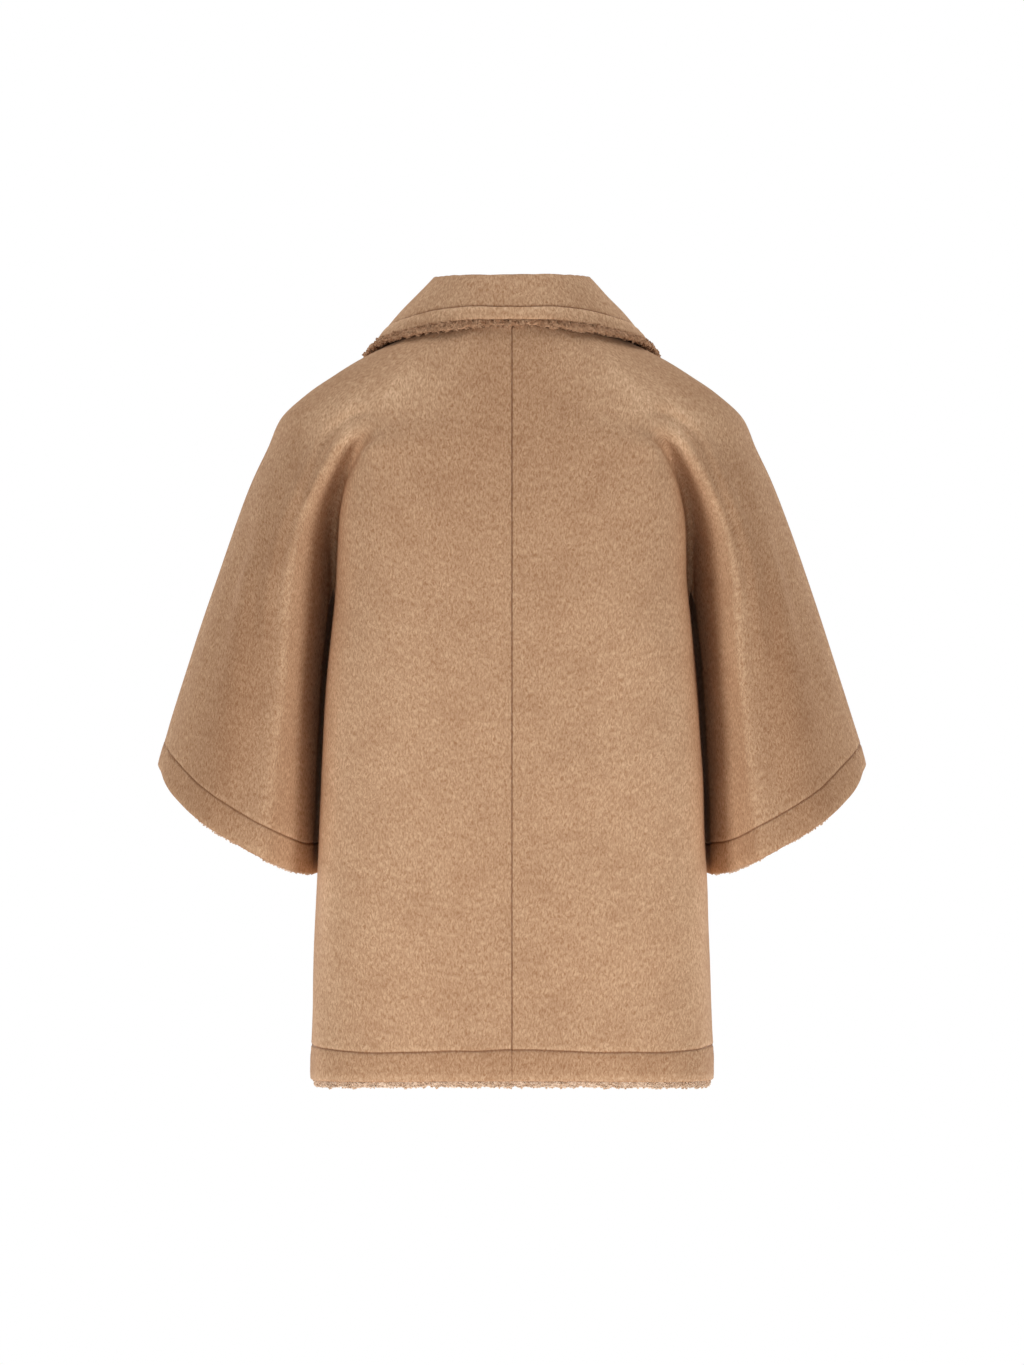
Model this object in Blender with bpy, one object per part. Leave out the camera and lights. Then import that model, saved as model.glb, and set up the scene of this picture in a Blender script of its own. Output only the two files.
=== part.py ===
# Wool cape jacket with half sleeves cut in one with the fronts and backs.
#
# Metres, +Z up. The wearer faces +Y, the back faces -Y, the wearer's right is +X.
# The origin lies midway between the two side-neck points, where shoulders hold the cape.
# The tables below are in millimetres and are turned into metres when they are read.
#
# Half of the garment is one surface, read by a height and a place on its ring. The ring
# runs from the middle of the back, round the side, to the middle of the front:
#   0 to 3    body back             11 to 14  body front
#   3 to 4    bottom of the back fold between body and sleeve   (10 to 11 in front)
#   4 to 5    sleeve wall that faces the body, up to the ridge  (9 to 10 in front)
#   5 to 7    sleeve back, from the ridge to the outermost line (7 to 9 in front)
# Below the underarm the ring is open at 3.5 and 10.5: body and sleeve are two tubes.

import math

import bmesh
import bpy
import numpy as np

MM = 0.001

# Driving dimensions, millimetres
WALL = 3.0  # thickness of the wool cloth
SEAM_GAP = 0.3  # between two pieces that are sewn together
FLEECE = 5.0  # room for the fleece between the leaf of the collar and the panels
UNDERARM = -240.0  # height of the underarm point
NECK_BACK = 9.5  # height of the neckline at the middle of the back
NECK_FRONT = -42.0  # height of the neckline at the middle of the front
HEM_BACK = -693.0  # height of the body hem at the middle of the back
HEM_SIDE = -697.0  # height of the body hem at the sides and in front
LAP = 25.0  # how far each front runs past the middle
LAP_EASE = 40.0  # over this width the under front sinks below the upper one
LAP_CLEAR = 0.5  # between the upper and the under front where they lap
FOLD_ROUND = 6.0  # rounding at the bottom of the folds between body and sleeve
SLIT_EASE = 22.0  # height over which body and sleeve part below the underarm
SIDE_BACK = 3.5  # ring place of the side seam, on the back
SIDE_FRONT = 10.5  # ring place of the side seam, on the front
CENTER_FRONT = 14.0  # ring place of the middle of the front
HULL_SIDE = 90.0  # angle of the outermost line on the shoulders' round
SLEEVE_SIDE = 7  # ring place of the outermost line
NECK_DIP = 1.3  # how quickly the neckline falls toward the front
SLIT_STEP = 0.05  # ring places next to a side seam, where a direction is read
PLACE_STEP = 0.02  # ring places between the neighbours that give a direction
HEIGHT_STEP = 0.5  # height between those neighbours

# Whole outline, sleeves and all: half its width, and the depth of back and front.
HULL_COLUMNS = ("height", "half_width", "back", "front")
HULL = (
    (20, 30, -74, 40),
    (12, 48, -79, 45),
    (0, 75, -87, 52),
    (-12, 107, -92, 58),
    (-30, 143.5, -98.5, 67),
    (-45, 167.5, -102.5, 74),
    (-60, 189.5, -106, 80),
    (-85, 215.8, -111, 90),
    (-110, 227, -115, 98.5),
    (-140, 241, -118, 107),
    (-180, 256.5, -121, 115),
    (-240, 277.5, -122, 122),
    (-320, 304, -122, 122),
    (-405, 330, -121.5, 121),
    (-520, 364, -122, 121),
    (-697, 364, -126, 124),
)

# Body and sleeve as separate rounds: half width of the body, width and depth of the fold
# between them, ridges of the sleeve beside that fold, the outermost line, and how far
# the front of the sleeve leans in over the body.
FOLD_COLUMNS = (
    "height", "body", "gap", "fold_back", "fold_front", "ridge_back_x", "ridge_back",
    "ridge_front_x", "ridge_front", "peak", "lean",
)
FOLDS = (
    (-80, 120, 7, -98, 80, 135, -92, 132, 78, 2, 0),
    (-96, 131, 9, -92, 83, 144, -92, 144, 84, 3, 0),
    (-112, 142, 10, -80, 74, 160, -90.5, 161, 85, 4, 0),
    (-130, 151, 11, -64, 60, 172, -91, 169, 87, 4, 2),
    (-150, 158, 10, -48, 42, 180, -90, 170, 89, 4, 4),
    (-180, 161.5, 10, -28, 25, 187, -89, 175, 93, 5, 7),
    (-210, 162, 10, -13, 12, 192.5, -88.5, 177, 96, 5, 9),
    (-240, 162.5, 10, -3.15, 3.15, 196.5, -88.5, 178, 98, 6, 11),
    (-320, 170.7, 7.5, -3.15, 3.15, 202, -90, 180, 102, 7, 12),
    (-405, 176, 5.5, -3.15, 3.15, 214.5, -92, 185, 105, 9, 12),
    (-520, 181, 4.5, -3.15, 3.15, 232, -95, 192, 108, 12, 12),
    (-600, 184, 4.5, -3.15, 3.15, 240, -95, 192, 108, 12, 12),
    (-697, 187, 4.5, -3.15, 3.15, 240, -95, 192, 108, 12, 12),
)

# Above the folds the outline is one round: which angle each ring place has there.
ANGLE_PLACES = (0, 3, 4, 5, 6.8, 7, 9, 10, 11, 14)
ANGLES = (0, 34, 39, 45, 85, 90, 135, 141, 146, 180)
BLEND_TOP = -80.0  # above this height there is one round
BLEND_BOTTOM = -115.0  # below it, body and sleeve are separate rounds

# How square each round is: 2 is an ellipse.
HULL_POWER = 2.1
BACK_POWER = 2.8
FRONT_POWER = 2.3
SLEEVE_BACK_POWER = 1.5
SLEEVE_FRONT_POWER = 1.9

# Sleeve hem: its height at places of the ring.
CUFF_PLACES = (3.5, 4, 4.5, 5, 5.73, 6.4, 6.6, 6.8, 7, 7.5, 8.15, 9, 9.5, 10, 10.5)
CUFF_HEIGHTS = (
    -509, -507.5, -499, -485, -453, -426, -420.5, -409, -402, -405, -428, -470,
    -496, -507, -509,
)

# Soft folds pressed into the surface: ring place and height at both ends, half width in
# ring places at both ends, and depth at both ends (a minus sign raises a ridge).
CREASE_COLUMNS = (
    "top_place", "top", "low_place", "low", "top_half", "low_half", "top_depth",
    "low_depth",
)
CREASES = (
    (5.28, -92, 5.32, -400, 0.21, 0.28, 6.5, 3.0),  # second fold of the sleeve back
    (5.62, -112, 5.76, -430, 0.22, 0.32, -3.0, -2.5),  # ridge beside it
    (6.18, -200, 6.18, -420, 0.25, 0.25, 2.5, 2.0),  # hollow before the overarm seam
    (8.54, -128, 8.48, -400, 0.30, 0.30, 4.0, 3.0),  # its like in front
    (8.15, -130, 8.10, -410, 0.25, 0.30, -3.0, -2.0),
    (0.15, -380, 0.62, -700, 0.22, 0.30, 0.5, 4.0),  # long shallow fold of the back
    (13.5, -420, 13.1, -700, 0.30, 0.35, 0.5, 3.0),  # long shallow fold of the front
)

CREASE_START = 24.0  # height over which a soft fold begins
CREASE_END = 60.0  # height over which it dies out below its low end

# Ring places of the columns and number of rows of the coarse solids
BACK_PLACES = (
    0, 0.4, 0.8, 1.15, 1.45, 1.75, 2.1, 2.55, 3, 3.25, 3.5, 3.75, 4, 4.33, 4.67, 5,
    5.28, 5.6, 5.9, 6.2, 6.5, 6.8,
)
FRONT_PLACES = (
    6.8, 6.9, 7, 7.25, 7.6, 8.1, 8.55, 9, 9.33, 9.67, 10, 10.25, 10.5, 10.75, 11,
    11.45, 11.9, 12.25, 12.55, 12.9, 13.25,
)
LAP_COLUMNS = 4  # columns from the last front place to the edge of the lap
HALVINGS = 40  # steps that find the edge of the lap
UPPER_ROWS = 12
BODY_ROWS = 8
SLEEVE_ROWS = 6
ROW_SPREAD = 1.35  # rows lie closer together at the neck

# Collar: the line of its fold and of its edge
FOLD_LINE_HALF = 71.5  # half the width inside the fold line
FOLD_LINE_BACK = -75.0
FOLD_LINE_FRONT = 54.0
FOLD_LINE_POWER = 2.3
FOLD_LINE_ANGLES = (0, 60, 90, 120, 150, 180)
FOLD_LINE_HEIGHTS = (44, 45.5, 46.5, 38, 16, -4)
LEAF_ANGLES = (0, 20, 43, 65, 90, 110, 130, 150, 170)
LEAF_HEIGHTS = (0.4, -2, -10, -17.5, -20.5, -27, -46, -73, -98)  # where the edge lies
COLLAR_PLACES = (
    0, 0.4, 0.8, 1.15, 1.45, 1.75, 2.1, 2.55, 3, 3.5, 4, 5, 5.55, 6.1, 6.6, 7, 7.3,
    7.65, 8.1, 8.55, 9, 10, 11, 11.45, 11.9, 12.25, 12.55, 12.9, 13.25, 13.6, 13.92,
)  # sections of half a collar, where the panels have their columns
FOLD_END = 175.0  # angle of the fold line's end
LEAF_END = 166.0  # angle of the collar point
ROLL = 5.5  # radius of the fold
LEAF_BULGE = 0.5  # how far the middle of the leaf stands out, behind
LEAF_BULGE_FRONT = 4.0  # and in front
POINT_POWER = 6  # how late the collar's edge turns toward its point
ANKLE = 2.0  # the stand's first step up from the seam
STAND_LEAN = 3.5  # how far inside the fold the stand's top lies
STAND_DROP = 7.0  # how far below the fold it lies
LEAF_CLEAR = 1.3  # between the fleece under the leaf and the panels

# Fleece edges
FLEECE_DROP = 3.5  # how far the fleece hangs out below the wool
FLEECE_GAP = 0.6  # between the wool and the fleece inside it
HEM_FLEECE = 4.0  # thickness of the fleece behind a hem
LEAF_FLEECE = ((-12, 3.5), (-5, 5), (0, 5), (3.5, 3.5))  # past the leaf's edge, thickness

# Buttons
BUTTON_RADIUS = 14.0
BUTTON_THICK = 4.2
BUTTON_CLEAR = 0.45  # between a button and the cloth it lies on
BUTTON_SIDES = 24
BUTTON_HEIGHTS = (-76, -214, -352, -490)
BUTTON_PROFILE = (
    (0.86, 0.0), (1.0, 0.35), (1.0, 0.7), (0.9, 1.0), (0.76, 0.95), (0.66, 0.68),
)  # share of the radius and of the thickness, from the cloth out to the dish

SHARP_ANGLE = 40.0  # edges sharper than this are shaded as edges

WOOL = (0.56, 0.335, 0.175, 1.0)
TEDDY = (0.66, 0.39, 0.225, 1.0)
HORN = (0.10, 0.045, 0.02, 1.0)


# ---------------------------------------------------------------- curves and tables


def smooth_curve(places, values):
    """A monotone cubic through the values, as a function of the place."""
    x = np.array(places, float)
    y = np.array(values, float)
    if x[0] > x[-1]:
        x, y = x[::-1], y[::-1]
    step = np.diff(x)
    rise = np.diff(y) / step
    slope = np.zeros_like(y)
    slope[0], slope[-1] = rise[0], rise[-1]
    for k in range(1, len(x) - 1):
        if rise[k - 1] * rise[k] > 0:
            slope[k] = 2 * rise[k - 1] * rise[k] / (rise[k - 1] + rise[k])

    def curve(at):
        at = np.clip(at, x[0], x[-1])
        k = np.clip(np.searchsorted(x, at, side="right") - 1, 0, len(x) - 2)
        t = (at - x[k]) / step[k]
        s = 1 - t
        ends = y[k] * (1 + 2 * t) * s * s + y[k + 1] * t * t * (3 - 2 * t)
        return ends + step[k] * t * s * (slope[k] * s - slope[k + 1] * t)

    return curve


def table_curves(columns, rows):
    """One curve over height for each named column of a table."""
    heights = [row[0] for row in rows]
    return {
        name: smooth_curve(heights, [row[k] for row in rows])
        for k, name in enumerate(columns)
        if k > 0
    }


HULL_AT = table_curves(HULL_COLUMNS, HULL)
FOLD_AT = table_curves(FOLD_COLUMNS, FOLDS)
CUFF_AT = smooth_curve(CUFF_PLACES, CUFF_HEIGHTS)
FOLD_LINE_AT = smooth_curve(FOLD_LINE_ANGLES, FOLD_LINE_HEIGHTS)
LEAF_AT = smooth_curve(LEAF_ANGLES, LEAF_HEIGHTS)


def ease(value):
    """A smooth step from 0 to 1."""
    t = np.clip(value, 0, 1)
    return t * t * (3 - 2 * t)


def quarter(part, power):
    """Quarter of a rounded square: part 0 is straight ahead, 1 is fully across."""
    angle = np.clip(part, 0, 1) * math.pi / 2
    across, ahead = np.sin(angle), np.cos(angle)
    reach = (across**power + ahead**power) ** (-1 / power)
    return across * reach, ahead * reach


# ---------------------------------------------------------------- the garment's surface


def hull_point(place, height):
    """A point on the single round that the shoulders make."""
    angle = np.interp(place, ANGLE_PLACES, ANGLES)
    behind = angle <= HULL_SIDE
    part = np.where(behind, angle, 2 * HULL_SIDE - angle) / HULL_SIDE
    across, ahead = quarter(part, HULL_POWER)
    depth = np.where(behind, HULL_AT["back"](height), HULL_AT["front"](height))
    return HULL_AT["half_width"](height) * across, depth * ahead


def folded_point(place, height):
    """A point where body and sleeve are rounds of their own, with a fold between."""
    behind = place <= SLEEVE_SIDE
    k = np.where(behind, place, CENTER_FRONT - place)
    toward = np.where(behind, -1.0, 1.0)
    at = {name: FOLD_AT[name](height) for name in FOLD_COLUMNS[1:]}
    middle = np.where(behind, HULL_AT["back"](height), HULL_AT["front"](height))
    parted = ease((UNDERARM - height) / SLIT_EASE)
    fold = np.where(behind, at["fold_back"], at["fold_front"]) * (1 - parted)
    ridge_x = np.where(behind, at["ridge_back_x"], at["ridge_front_x"])
    ridge_y = np.where(behind, at["ridge_back"], at["ridge_front"])
    turn_size = np.clip(toward * (ridge_y - fold) / 2, 0, FOLD_ROUND)
    start = fold + toward * turn_size
    wall_x = at["body"] + at["gap"]
    half_gap = at["gap"] / 2 * (1 - parted)

    power = np.where(behind, BACK_POWER, FRONT_POWER)
    across, ahead = quarter(k / 3, power)
    body = at["body"] * across, start + (middle - start) * ahead

    turn = np.clip((k - 3) * 2, 0, 1) * math.pi / 2
    inner = at["body"] + half_gap * (1 - np.cos(turn)), start - toward * turn_size * np.sin(turn)
    turn = np.clip((4 - k) * 2, 0, 1) * math.pi / 2
    outer = wall_x - half_gap * (1 - np.cos(turn)), start - toward * turn_size * np.sin(turn)

    up = np.clip(k - 4, 0, 1) * math.pi / 2
    wall = (
        wall_x + (ridge_x - wall_x) * (1 - np.cos(up)) - at["lean"] * np.sin(2 * up) ** 2,
        start + (ridge_y - start) * np.sin(up),
    )

    power = np.where(behind, SLEEVE_BACK_POWER, SLEEVE_FRONT_POWER)
    across, ahead = quarter((k - 5) / 2, power)
    sleeve = (
        ridge_x + (HULL_AT["half_width"](height) - ridge_x) * across,
        at["peak"] + (ridge_y - at["peak"]) * ahead,
    )

    parts = [k <= 3, k <= 3.5, k <= 4, k <= 5]
    x = np.select(parts, [body[0], inner[0], outer[0], wall[0]], sleeve[0])
    y = np.select(parts, [body[1], inner[1], outer[1], wall[1]], sleeve[1])
    return x, y


def plain_point(place, height, sleeve):
    """The surface without its soft folds. Places past the front edge mirror back."""
    place = np.asarray(place, float)
    height = np.asarray(height, float)
    beyond = place > CENTER_FRONT
    before = place < 0
    place = np.where(beyond, 2 * CENTER_FRONT - place, np.abs(place))
    if sleeve:
        place = np.clip(place, SIDE_BACK + 1e-6, SIDE_FRONT - 1e-6)
    hull_x, hull_y = hull_point(place, height)
    fold_x, fold_y = folded_point(place, height)
    share = ease((BLEND_TOP - height) / (BLEND_TOP - BLEND_BOTTOM))
    x = hull_x + (fold_x - hull_x) * share
    y = hull_y + (fold_y - hull_y) * share
    x = np.where(beyond | before, -x, x)
    return np.stack([x, y, height + 0 * x], axis=-1)


def facing(point_at, place, height, sleeve=False):
    """Outward direction of a surface, from its neighbours on both sides."""
    if sleeve:
        place = np.clip(place, SIDE_BACK + SLIT_STEP, SIDE_FRONT - SLIT_STEP)
    along = point_at(place + PLACE_STEP, height, sleeve) - point_at(
        place - PLACE_STEP, height, sleeve
    )
    down = point_at(place, height - HEIGHT_STEP, sleeve) - point_at(
        place, height + HEIGHT_STEP, sleeve
    )
    normal = np.cross(down, along)
    return normal / np.linalg.norm(normal, axis=-1, keepdims=True)


def crease_depth(place, height):
    """How far the soft folds press the surface in."""
    total = 0 * place
    for row in CREASES:
        crease = dict(zip(CREASE_COLUMNS, row))
        share = np.clip((crease["top"] - height) / (crease["top"] - crease["low"]), 0, 1)
        middle = crease["top_place"] + (crease["low_place"] - crease["top_place"]) * share
        half = crease["top_half"] + (crease["low_half"] - crease["top_half"]) * share
        depth = crease["top_depth"] + (crease["low_depth"] - crease["top_depth"]) * share
        begun = ease((crease["top"] - height) / CREASE_START + 0.5)
        fade = begun * ease((height - crease["low"]) / CREASE_END + 1)
        total = total + depth * fade * np.exp(-(((place - middle) / half) ** 2))
    return total


def surface_point(place, height, sleeve=False):
    """The outer face of the cloth, soft folds and all, in millimetres."""
    plain = plain_point(place, height, sleeve)
    mirrored = np.where(place > CENTER_FRONT, 2 * CENTER_FRONT - place, np.abs(place))
    depth = crease_depth(mirrored, height)
    normal = facing(plain_point, place, height, sleeve)
    return plain - normal * depth[..., None]


def place_at_x(height, across):
    """Ring place of the front where the surface is this far past the middle."""
    low, high = CENTER_FRONT - 2.0, CENTER_FRONT
    for _ in range(HALVINGS):
        middle = (low + high) / 2
        if float(plain_point(middle, height, False)[0]) > across:
            low = middle
        else:
            high = middle
    return 2 * CENTER_FRONT - high


def neckline(place):
    """Height of the neckline at a ring place."""
    mirrored = np.minimum(place, 2 * CENTER_FRONT - place)
    ahead = np.cos(np.radians(np.interp(mirrored, ANGLE_PLACES, ANGLES)))
    return np.where(ahead >= 0, NECK_BACK * ahead, NECK_FRONT * np.abs(ahead) ** NECK_DIP)


def body_hem(place):
    """Height of the body hem at a ring place."""
    return HEM_SIDE + (HEM_BACK - HEM_SIDE) * np.cos(np.clip(place / 3, 0, 1) * math.pi / 2)


def sink(points, normals, under):
    """Moves the under front inward, below the upper one, near the middle."""
    if not under:
        return points
    share = ease((LAP + LAP_EASE - points[..., 0]) / LAP_EASE)
    share = np.where(points[..., 1] > 0, share, 0.0)
    return points - normals * (share * (WALL + LAP_CLEAR))[..., None]


# ---------------------------------------------------------------- meshes


def grid_faces(ids):
    """Quads between rows of vertex numbers."""
    faces = []
    for upper, lower in zip(ids, ids[1:]):
        for k in range(len(upper) - 1):
            faces.append((upper[k], lower[k], lower[k + 1], upper[k + 1]))
    return faces


def inset(points, normals, faces, amount):
    """Pulls the free edge of a sheet back into the sheet, for the gap at a seam."""
    uses = {}
    inward = np.zeros_like(points)
    for face in faces:
        center = points[list(face)].mean(axis=0)
        for k, a in enumerate(face):
            inward[a] += center - points[a]
            pair = frozenset((a, face[(k + 1) % len(face)]))
            uses[pair] = uses.get(pair, 0) + 1
    along = np.zeros_like(points)
    edge = set()
    for pair, count in uses.items():
        if count == 1:
            a, b = pair
            line = points[b] - points[a]
            for v in (a, b):
                sign = 1 if np.dot(along[v], line) >= 0 else -1
                along[v] += sign * line
                edge.add(v)
    moved = np.zeros_like(points)
    for v in edge:
        line = along[v] / (np.linalg.norm(along[v]) + 1e-9)
        step = inward[v] - np.dot(inward[v], line) * line
        step -= np.dot(step, normals[v]) * normals[v]
        moved[v] = step / (np.linalg.norm(step) + 1e-9) * amount
    return moved


def wall_mesh(points, normals, faces, outer, inner):
    """Closed wall round a sheet: outer and inner are distances along its normals."""
    count = len(points)
    vertices = np.concatenate([points + normals * outer, points - normals * inner])
    quads = [tuple(face) for face in faces]
    quads += [tuple(v + count for v in reversed(face)) for face in faces]
    directed = {(f[k], f[(k + 1) % len(f)]) for f in faces for k in range(len(f))}
    for a, b in sorted(directed):
        if (b, a) not in directed:
            quads.append((b, a, a + count, b + count))
    return vertices, quads


def material(name, color, roughness):
    """A plain finish for one kind of piece."""
    made = bpy.data.materials.new(name)
    made.use_nodes = True
    shader = made.node_tree.nodes["Principled BSDF"]
    shader.inputs["Base Color"].default_value = color
    shader.inputs["Roughness"].default_value = roughness
    shader.inputs["Metallic"].default_value = 0.0
    made.diffuse_color = color
    return made


def add_piece(name, vertices, faces, finish, mirrored=False):
    """One named solid, from points in millimetres."""
    scaled = np.array(vertices) * MM
    if mirrored:
        scaled = scaled * np.array([-1.0, 1.0, 1.0])
        faces = [tuple(reversed(face)) for face in faces]
    mesh = bpy.data.meshes.new(name)
    mesh.from_pydata([tuple(p) for p in scaled], [], faces)
    shape = bmesh.new()
    shape.from_mesh(mesh)
    bmesh.ops.triangulate(shape, faces=shape.faces[:], quad_method="SHORT_EDGE")
    shape.to_mesh(mesh)
    shape.free()
    mesh.shade_smooth()
    mesh.set_sharp_from_angle(angle=math.radians(SHARP_ANGLE))
    mesh.materials.append(finish)
    piece = bpy.data.objects.new(name, mesh)
    bpy.context.scene.collection.objects.link(piece)
    return piece


# ---------------------------------------------------------------- panels


def panel_sheet(places, side_place, front, under):
    """Points, normals and faces of one panel with its half sleeve, for the +X side."""
    places = np.array(places, float)
    slit = int(np.argmin(np.abs(places - side_place)))
    body_slice = slice(slit, None) if front else slice(0, slit + 1)
    sleeve_slice = slice(0, slit + 1) if front else slice(slit, None)

    points, normals, rows = [], [], {"upper": [], "body": [], "sleeve": []}

    def add_row(group, at_places, heights, sleeve, at_slit):
        ids = []
        p = surface_point(at_places, heights, sleeve)
        n = facing(surface_point, at_places, heights, sleeve)
        if at_slit is not None:
            part = at_places[at_slit : at_slit + 1]
            level = heights[at_slit : at_slit + 1]
            n[at_slit] = side_normal(part, level, sleeve)
        p = sink(p, n, under)
        for one, way in zip(p, n):
            ids.append(len(points))
            points.append(one)
            normals.append(way)
        rows[group].append(ids)
        return ids

    def row_places(height):
        if not front:
            return places
        edge = place_at_x(height, LAP)
        lap = np.linspace(places[-1], edge, LAP_COLUMNS + 1)[1:]
        return np.concatenate([places, lap])

    for row in range(UPPER_ROWS + 1):
        share = (row / UPPER_ROWS) ** ROW_SPREAD
        level = NECK_FRONT + (UNDERARM - NECK_FRONT) * share
        at_places = row_places(level)
        top = neckline(at_places)
        add_row("upper", at_places, top + (UNDERARM - top) * share, False, None)

    first = rows["upper"][-1]
    for group, part, count, hem in (
        ("body", body_slice, BODY_ROWS, body_hem),
        ("sleeve", sleeve_slice, SLEEVE_ROWS, CUFF_AT),
    ):
        at_slit = 0 if (group == "body") == front else -1
        start = first[part]
        rows[group].append(start)
        for row in range(1, count + 1):
            share = (row - 1) / (count - 1)
            high = UNDERARM - SLIT_EASE
            at_places = row_places(high + (HEM_SIDE - high) * share)[part]
            heights = high + (hem(at_places) - high) * share
            if at_slit == -1:
                at_slit = len(at_places) - 1
            add_row(group, at_places, heights, group == "sleeve", at_slit)

    faces = []
    for group in rows.values():
        faces += grid_faces(group)
    return np.array(points), np.array(normals), faces


def side_normal(place, height, sleeve):
    """Direction of the cloth at a side seam or underarm seam: away from its own tube."""
    below = surface_point(place, height - HEIGHT_STEP, sleeve)
    above = surface_point(place, height + HEIGHT_STEP, sleeve)
    slope = (below - above) / (2 * HEIGHT_STEP)
    out = np.array([-1.0, 0.0, 0.0]) if sleeve else np.array([1.0, 0.0, 0.0])
    normal = out - slope * np.dot(slope[0], out) / np.dot(slope[0], slope[0])
    return (normal / np.linalg.norm(normal))[0]


def build_panels(wool):
    """Two backs and two fronts, the left front under the right one."""
    for name, places, side, front, under, mirrored in (
        ("back_right", BACK_PLACES, SIDE_BACK, False, False, False),
        ("back_left", BACK_PLACES, SIDE_BACK, False, False, True),
        ("front_right", FRONT_PLACES, SIDE_FRONT, True, False, False),
        ("front_left", FRONT_PLACES, SIDE_FRONT, True, True, True),
    ):
        points, normals, faces = panel_sheet(places, side, front, under)
        points = points + inset(points, normals, faces, SEAM_GAP / 2)
        vertices, quads = wall_mesh(points, normals, faces, 0.0, WALL)
        add_piece(name, vertices, quads, wool, mirrored)


# ---------------------------------------------------------------- collar


def place_of_angle(angle):
    """Ring place that has this angle on the shoulders' round."""
    return np.interp(angle, ANGLES, ANGLE_PLACES)


def panel_point(angle, height, under):
    """A point of the panels and its direction, by angle and height."""
    place = np.atleast_1d(place_of_angle(angle))
    level = np.atleast_1d(np.asarray(height, float))
    point = surface_point(place, level)
    normal = facing(surface_point, place, level)
    return sink(point, normal, under)[0], normal[0]


def spline(points, steps):
    """Points of a smooth line through the given points, with steps for each span."""
    ends = [2 * points[0] - points[1]], [2 * points[-1] - points[-2]]
    padded = ends[0] + list(points) + ends[1]
    line = []
    for k, count in enumerate(steps):
        a, b, c, d = padded[k : k + 4]
        before, here, after = (np.linalg.norm(q - p) for p, q in ((a, b), (b, c), (c, d)))
        start = ((b - a) / before * here + (c - b) / here * before) / (before + here)
        stop = ((c - b) / here * after + (d - c) / after * here) / (here + after)
        for i in range(count):
            t = i / count
            s = 1 - t
            line.append(
                b * (1 + 2 * t) * s * s
                + c * t * t * (3 - 2 * t)
                + (start * s - stop * t) * here * t * s
            )
    line.append(points[-1])
    return line


def angle_of_place(place):
    """Angle of a ring place on the shoulders' round."""
    return float(np.interp(place, ANGLE_PLACES, ANGLES))


def collar_section(place, under):
    """Section of the collar: from the neck seam up the stand, over the fold, to the edge."""
    up = np.array([0.0, 0.0, 1.0])
    seam_angle = angle_of_place(place)
    share = seam_angle / angle_of_place(COLLAR_PLACES[-1])
    seam_height = float(neckline(place_of_angle(seam_angle)))
    seam, seam_way = panel_point(seam_angle, seam_height, under)
    below, _ = panel_point(seam_angle, seam_height - WALL, under)
    rise = (seam - below) / np.linalg.norm(seam - below)
    foot = seam - seam_way * (WALL / 2) + rise * LAP_CLEAR

    fold_angle = FOLD_END * share
    across, ahead = quarter(1 - abs(fold_angle / HULL_SIDE - 1), FOLD_LINE_POWER)
    depth = FOLD_LINE_BACK if fold_angle <= HULL_SIDE else FOLD_LINE_FRONT
    fold = np.array([FOLD_LINE_HALF * across, depth * ahead, FOLD_LINE_AT(fold_angle)])
    steep = FOLD_LINE_POWER - 1
    out = np.array([across**steep / FOLD_LINE_HALF, ahead**steep / depth, 0.0])
    out /= np.linalg.norm(out)

    front_angle = 2 * HULL_SIDE
    leaf_angle = share * front_angle - (front_angle - LEAF_END) * share**POINT_POWER
    edge, edge_way = panel_point(leaf_angle, float(LEAF_AT(leaf_angle)), False)
    lift = LEAF_CLEAR + FLEECE + SEAM_GAP + WALL / 2
    edge = edge + edge_way * lift

    stand_top = fold - out * STAND_LEAN - up * STAND_DROP
    leaf_top = fold + out * ROLL - up * ROLL
    middle = (leaf_top + edge) / 2
    leaf_way = edge - leaf_top
    side = out - leaf_way * np.dot(out, leaf_way) / np.dot(leaf_way, leaf_way)
    bulge = LEAF_BULGE + (LEAF_BULGE_FRONT - LEAF_BULGE) * share**2
    middle = middle + side / np.linalg.norm(side) * bulge
    ankle = foot + (rise + up) * ANKLE
    line = spline([foot, ankle, stand_top, fold, leaf_top, middle, edge], (1, 2, 2, 2, 2, 3))
    return line, -seam_way, edge_way


def collar_sheet():
    """Grid of the whole collar, left front end to right front end, and its normals."""
    places = [-p for p in reversed(COLLAR_PLACES[1:])] + list(COLLAR_PLACES)
    flip = np.array([-1.0, 1.0, 1.0])
    grid, feet, edges = [], [], []
    for place in places:
        line, foot_way, edge_way = collar_section(abs(place), place < 0)
        turn = flip if place < 0 else 1.0
        grid.append([p * turn for p in line])
        feet.append(foot_way * turn)
        edges.append(edge_way * turn)
    grid = np.array(grid)
    along = np.gradient(grid, axis=0)
    across = np.gradient(grid, axis=1)
    normals = np.cross(across, along)
    normals /= np.linalg.norm(normals, axis=-1, keepdims=True)
    normals[:, 0] = feet
    return grid, normals, np.array(edges)


def sheet_faces(stations, rows):
    """Quads of a grid whose stations run from -X to +X behind the neck."""
    ids = [[s * rows + r for r in range(rows)] for s in range(stations)]
    faces = []
    for left, right in zip(ids, ids[1:]):
        for r in range(rows - 1):
            faces.append((left[r], left[r + 1], right[r + 1], right[r]))
    return faces


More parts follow.
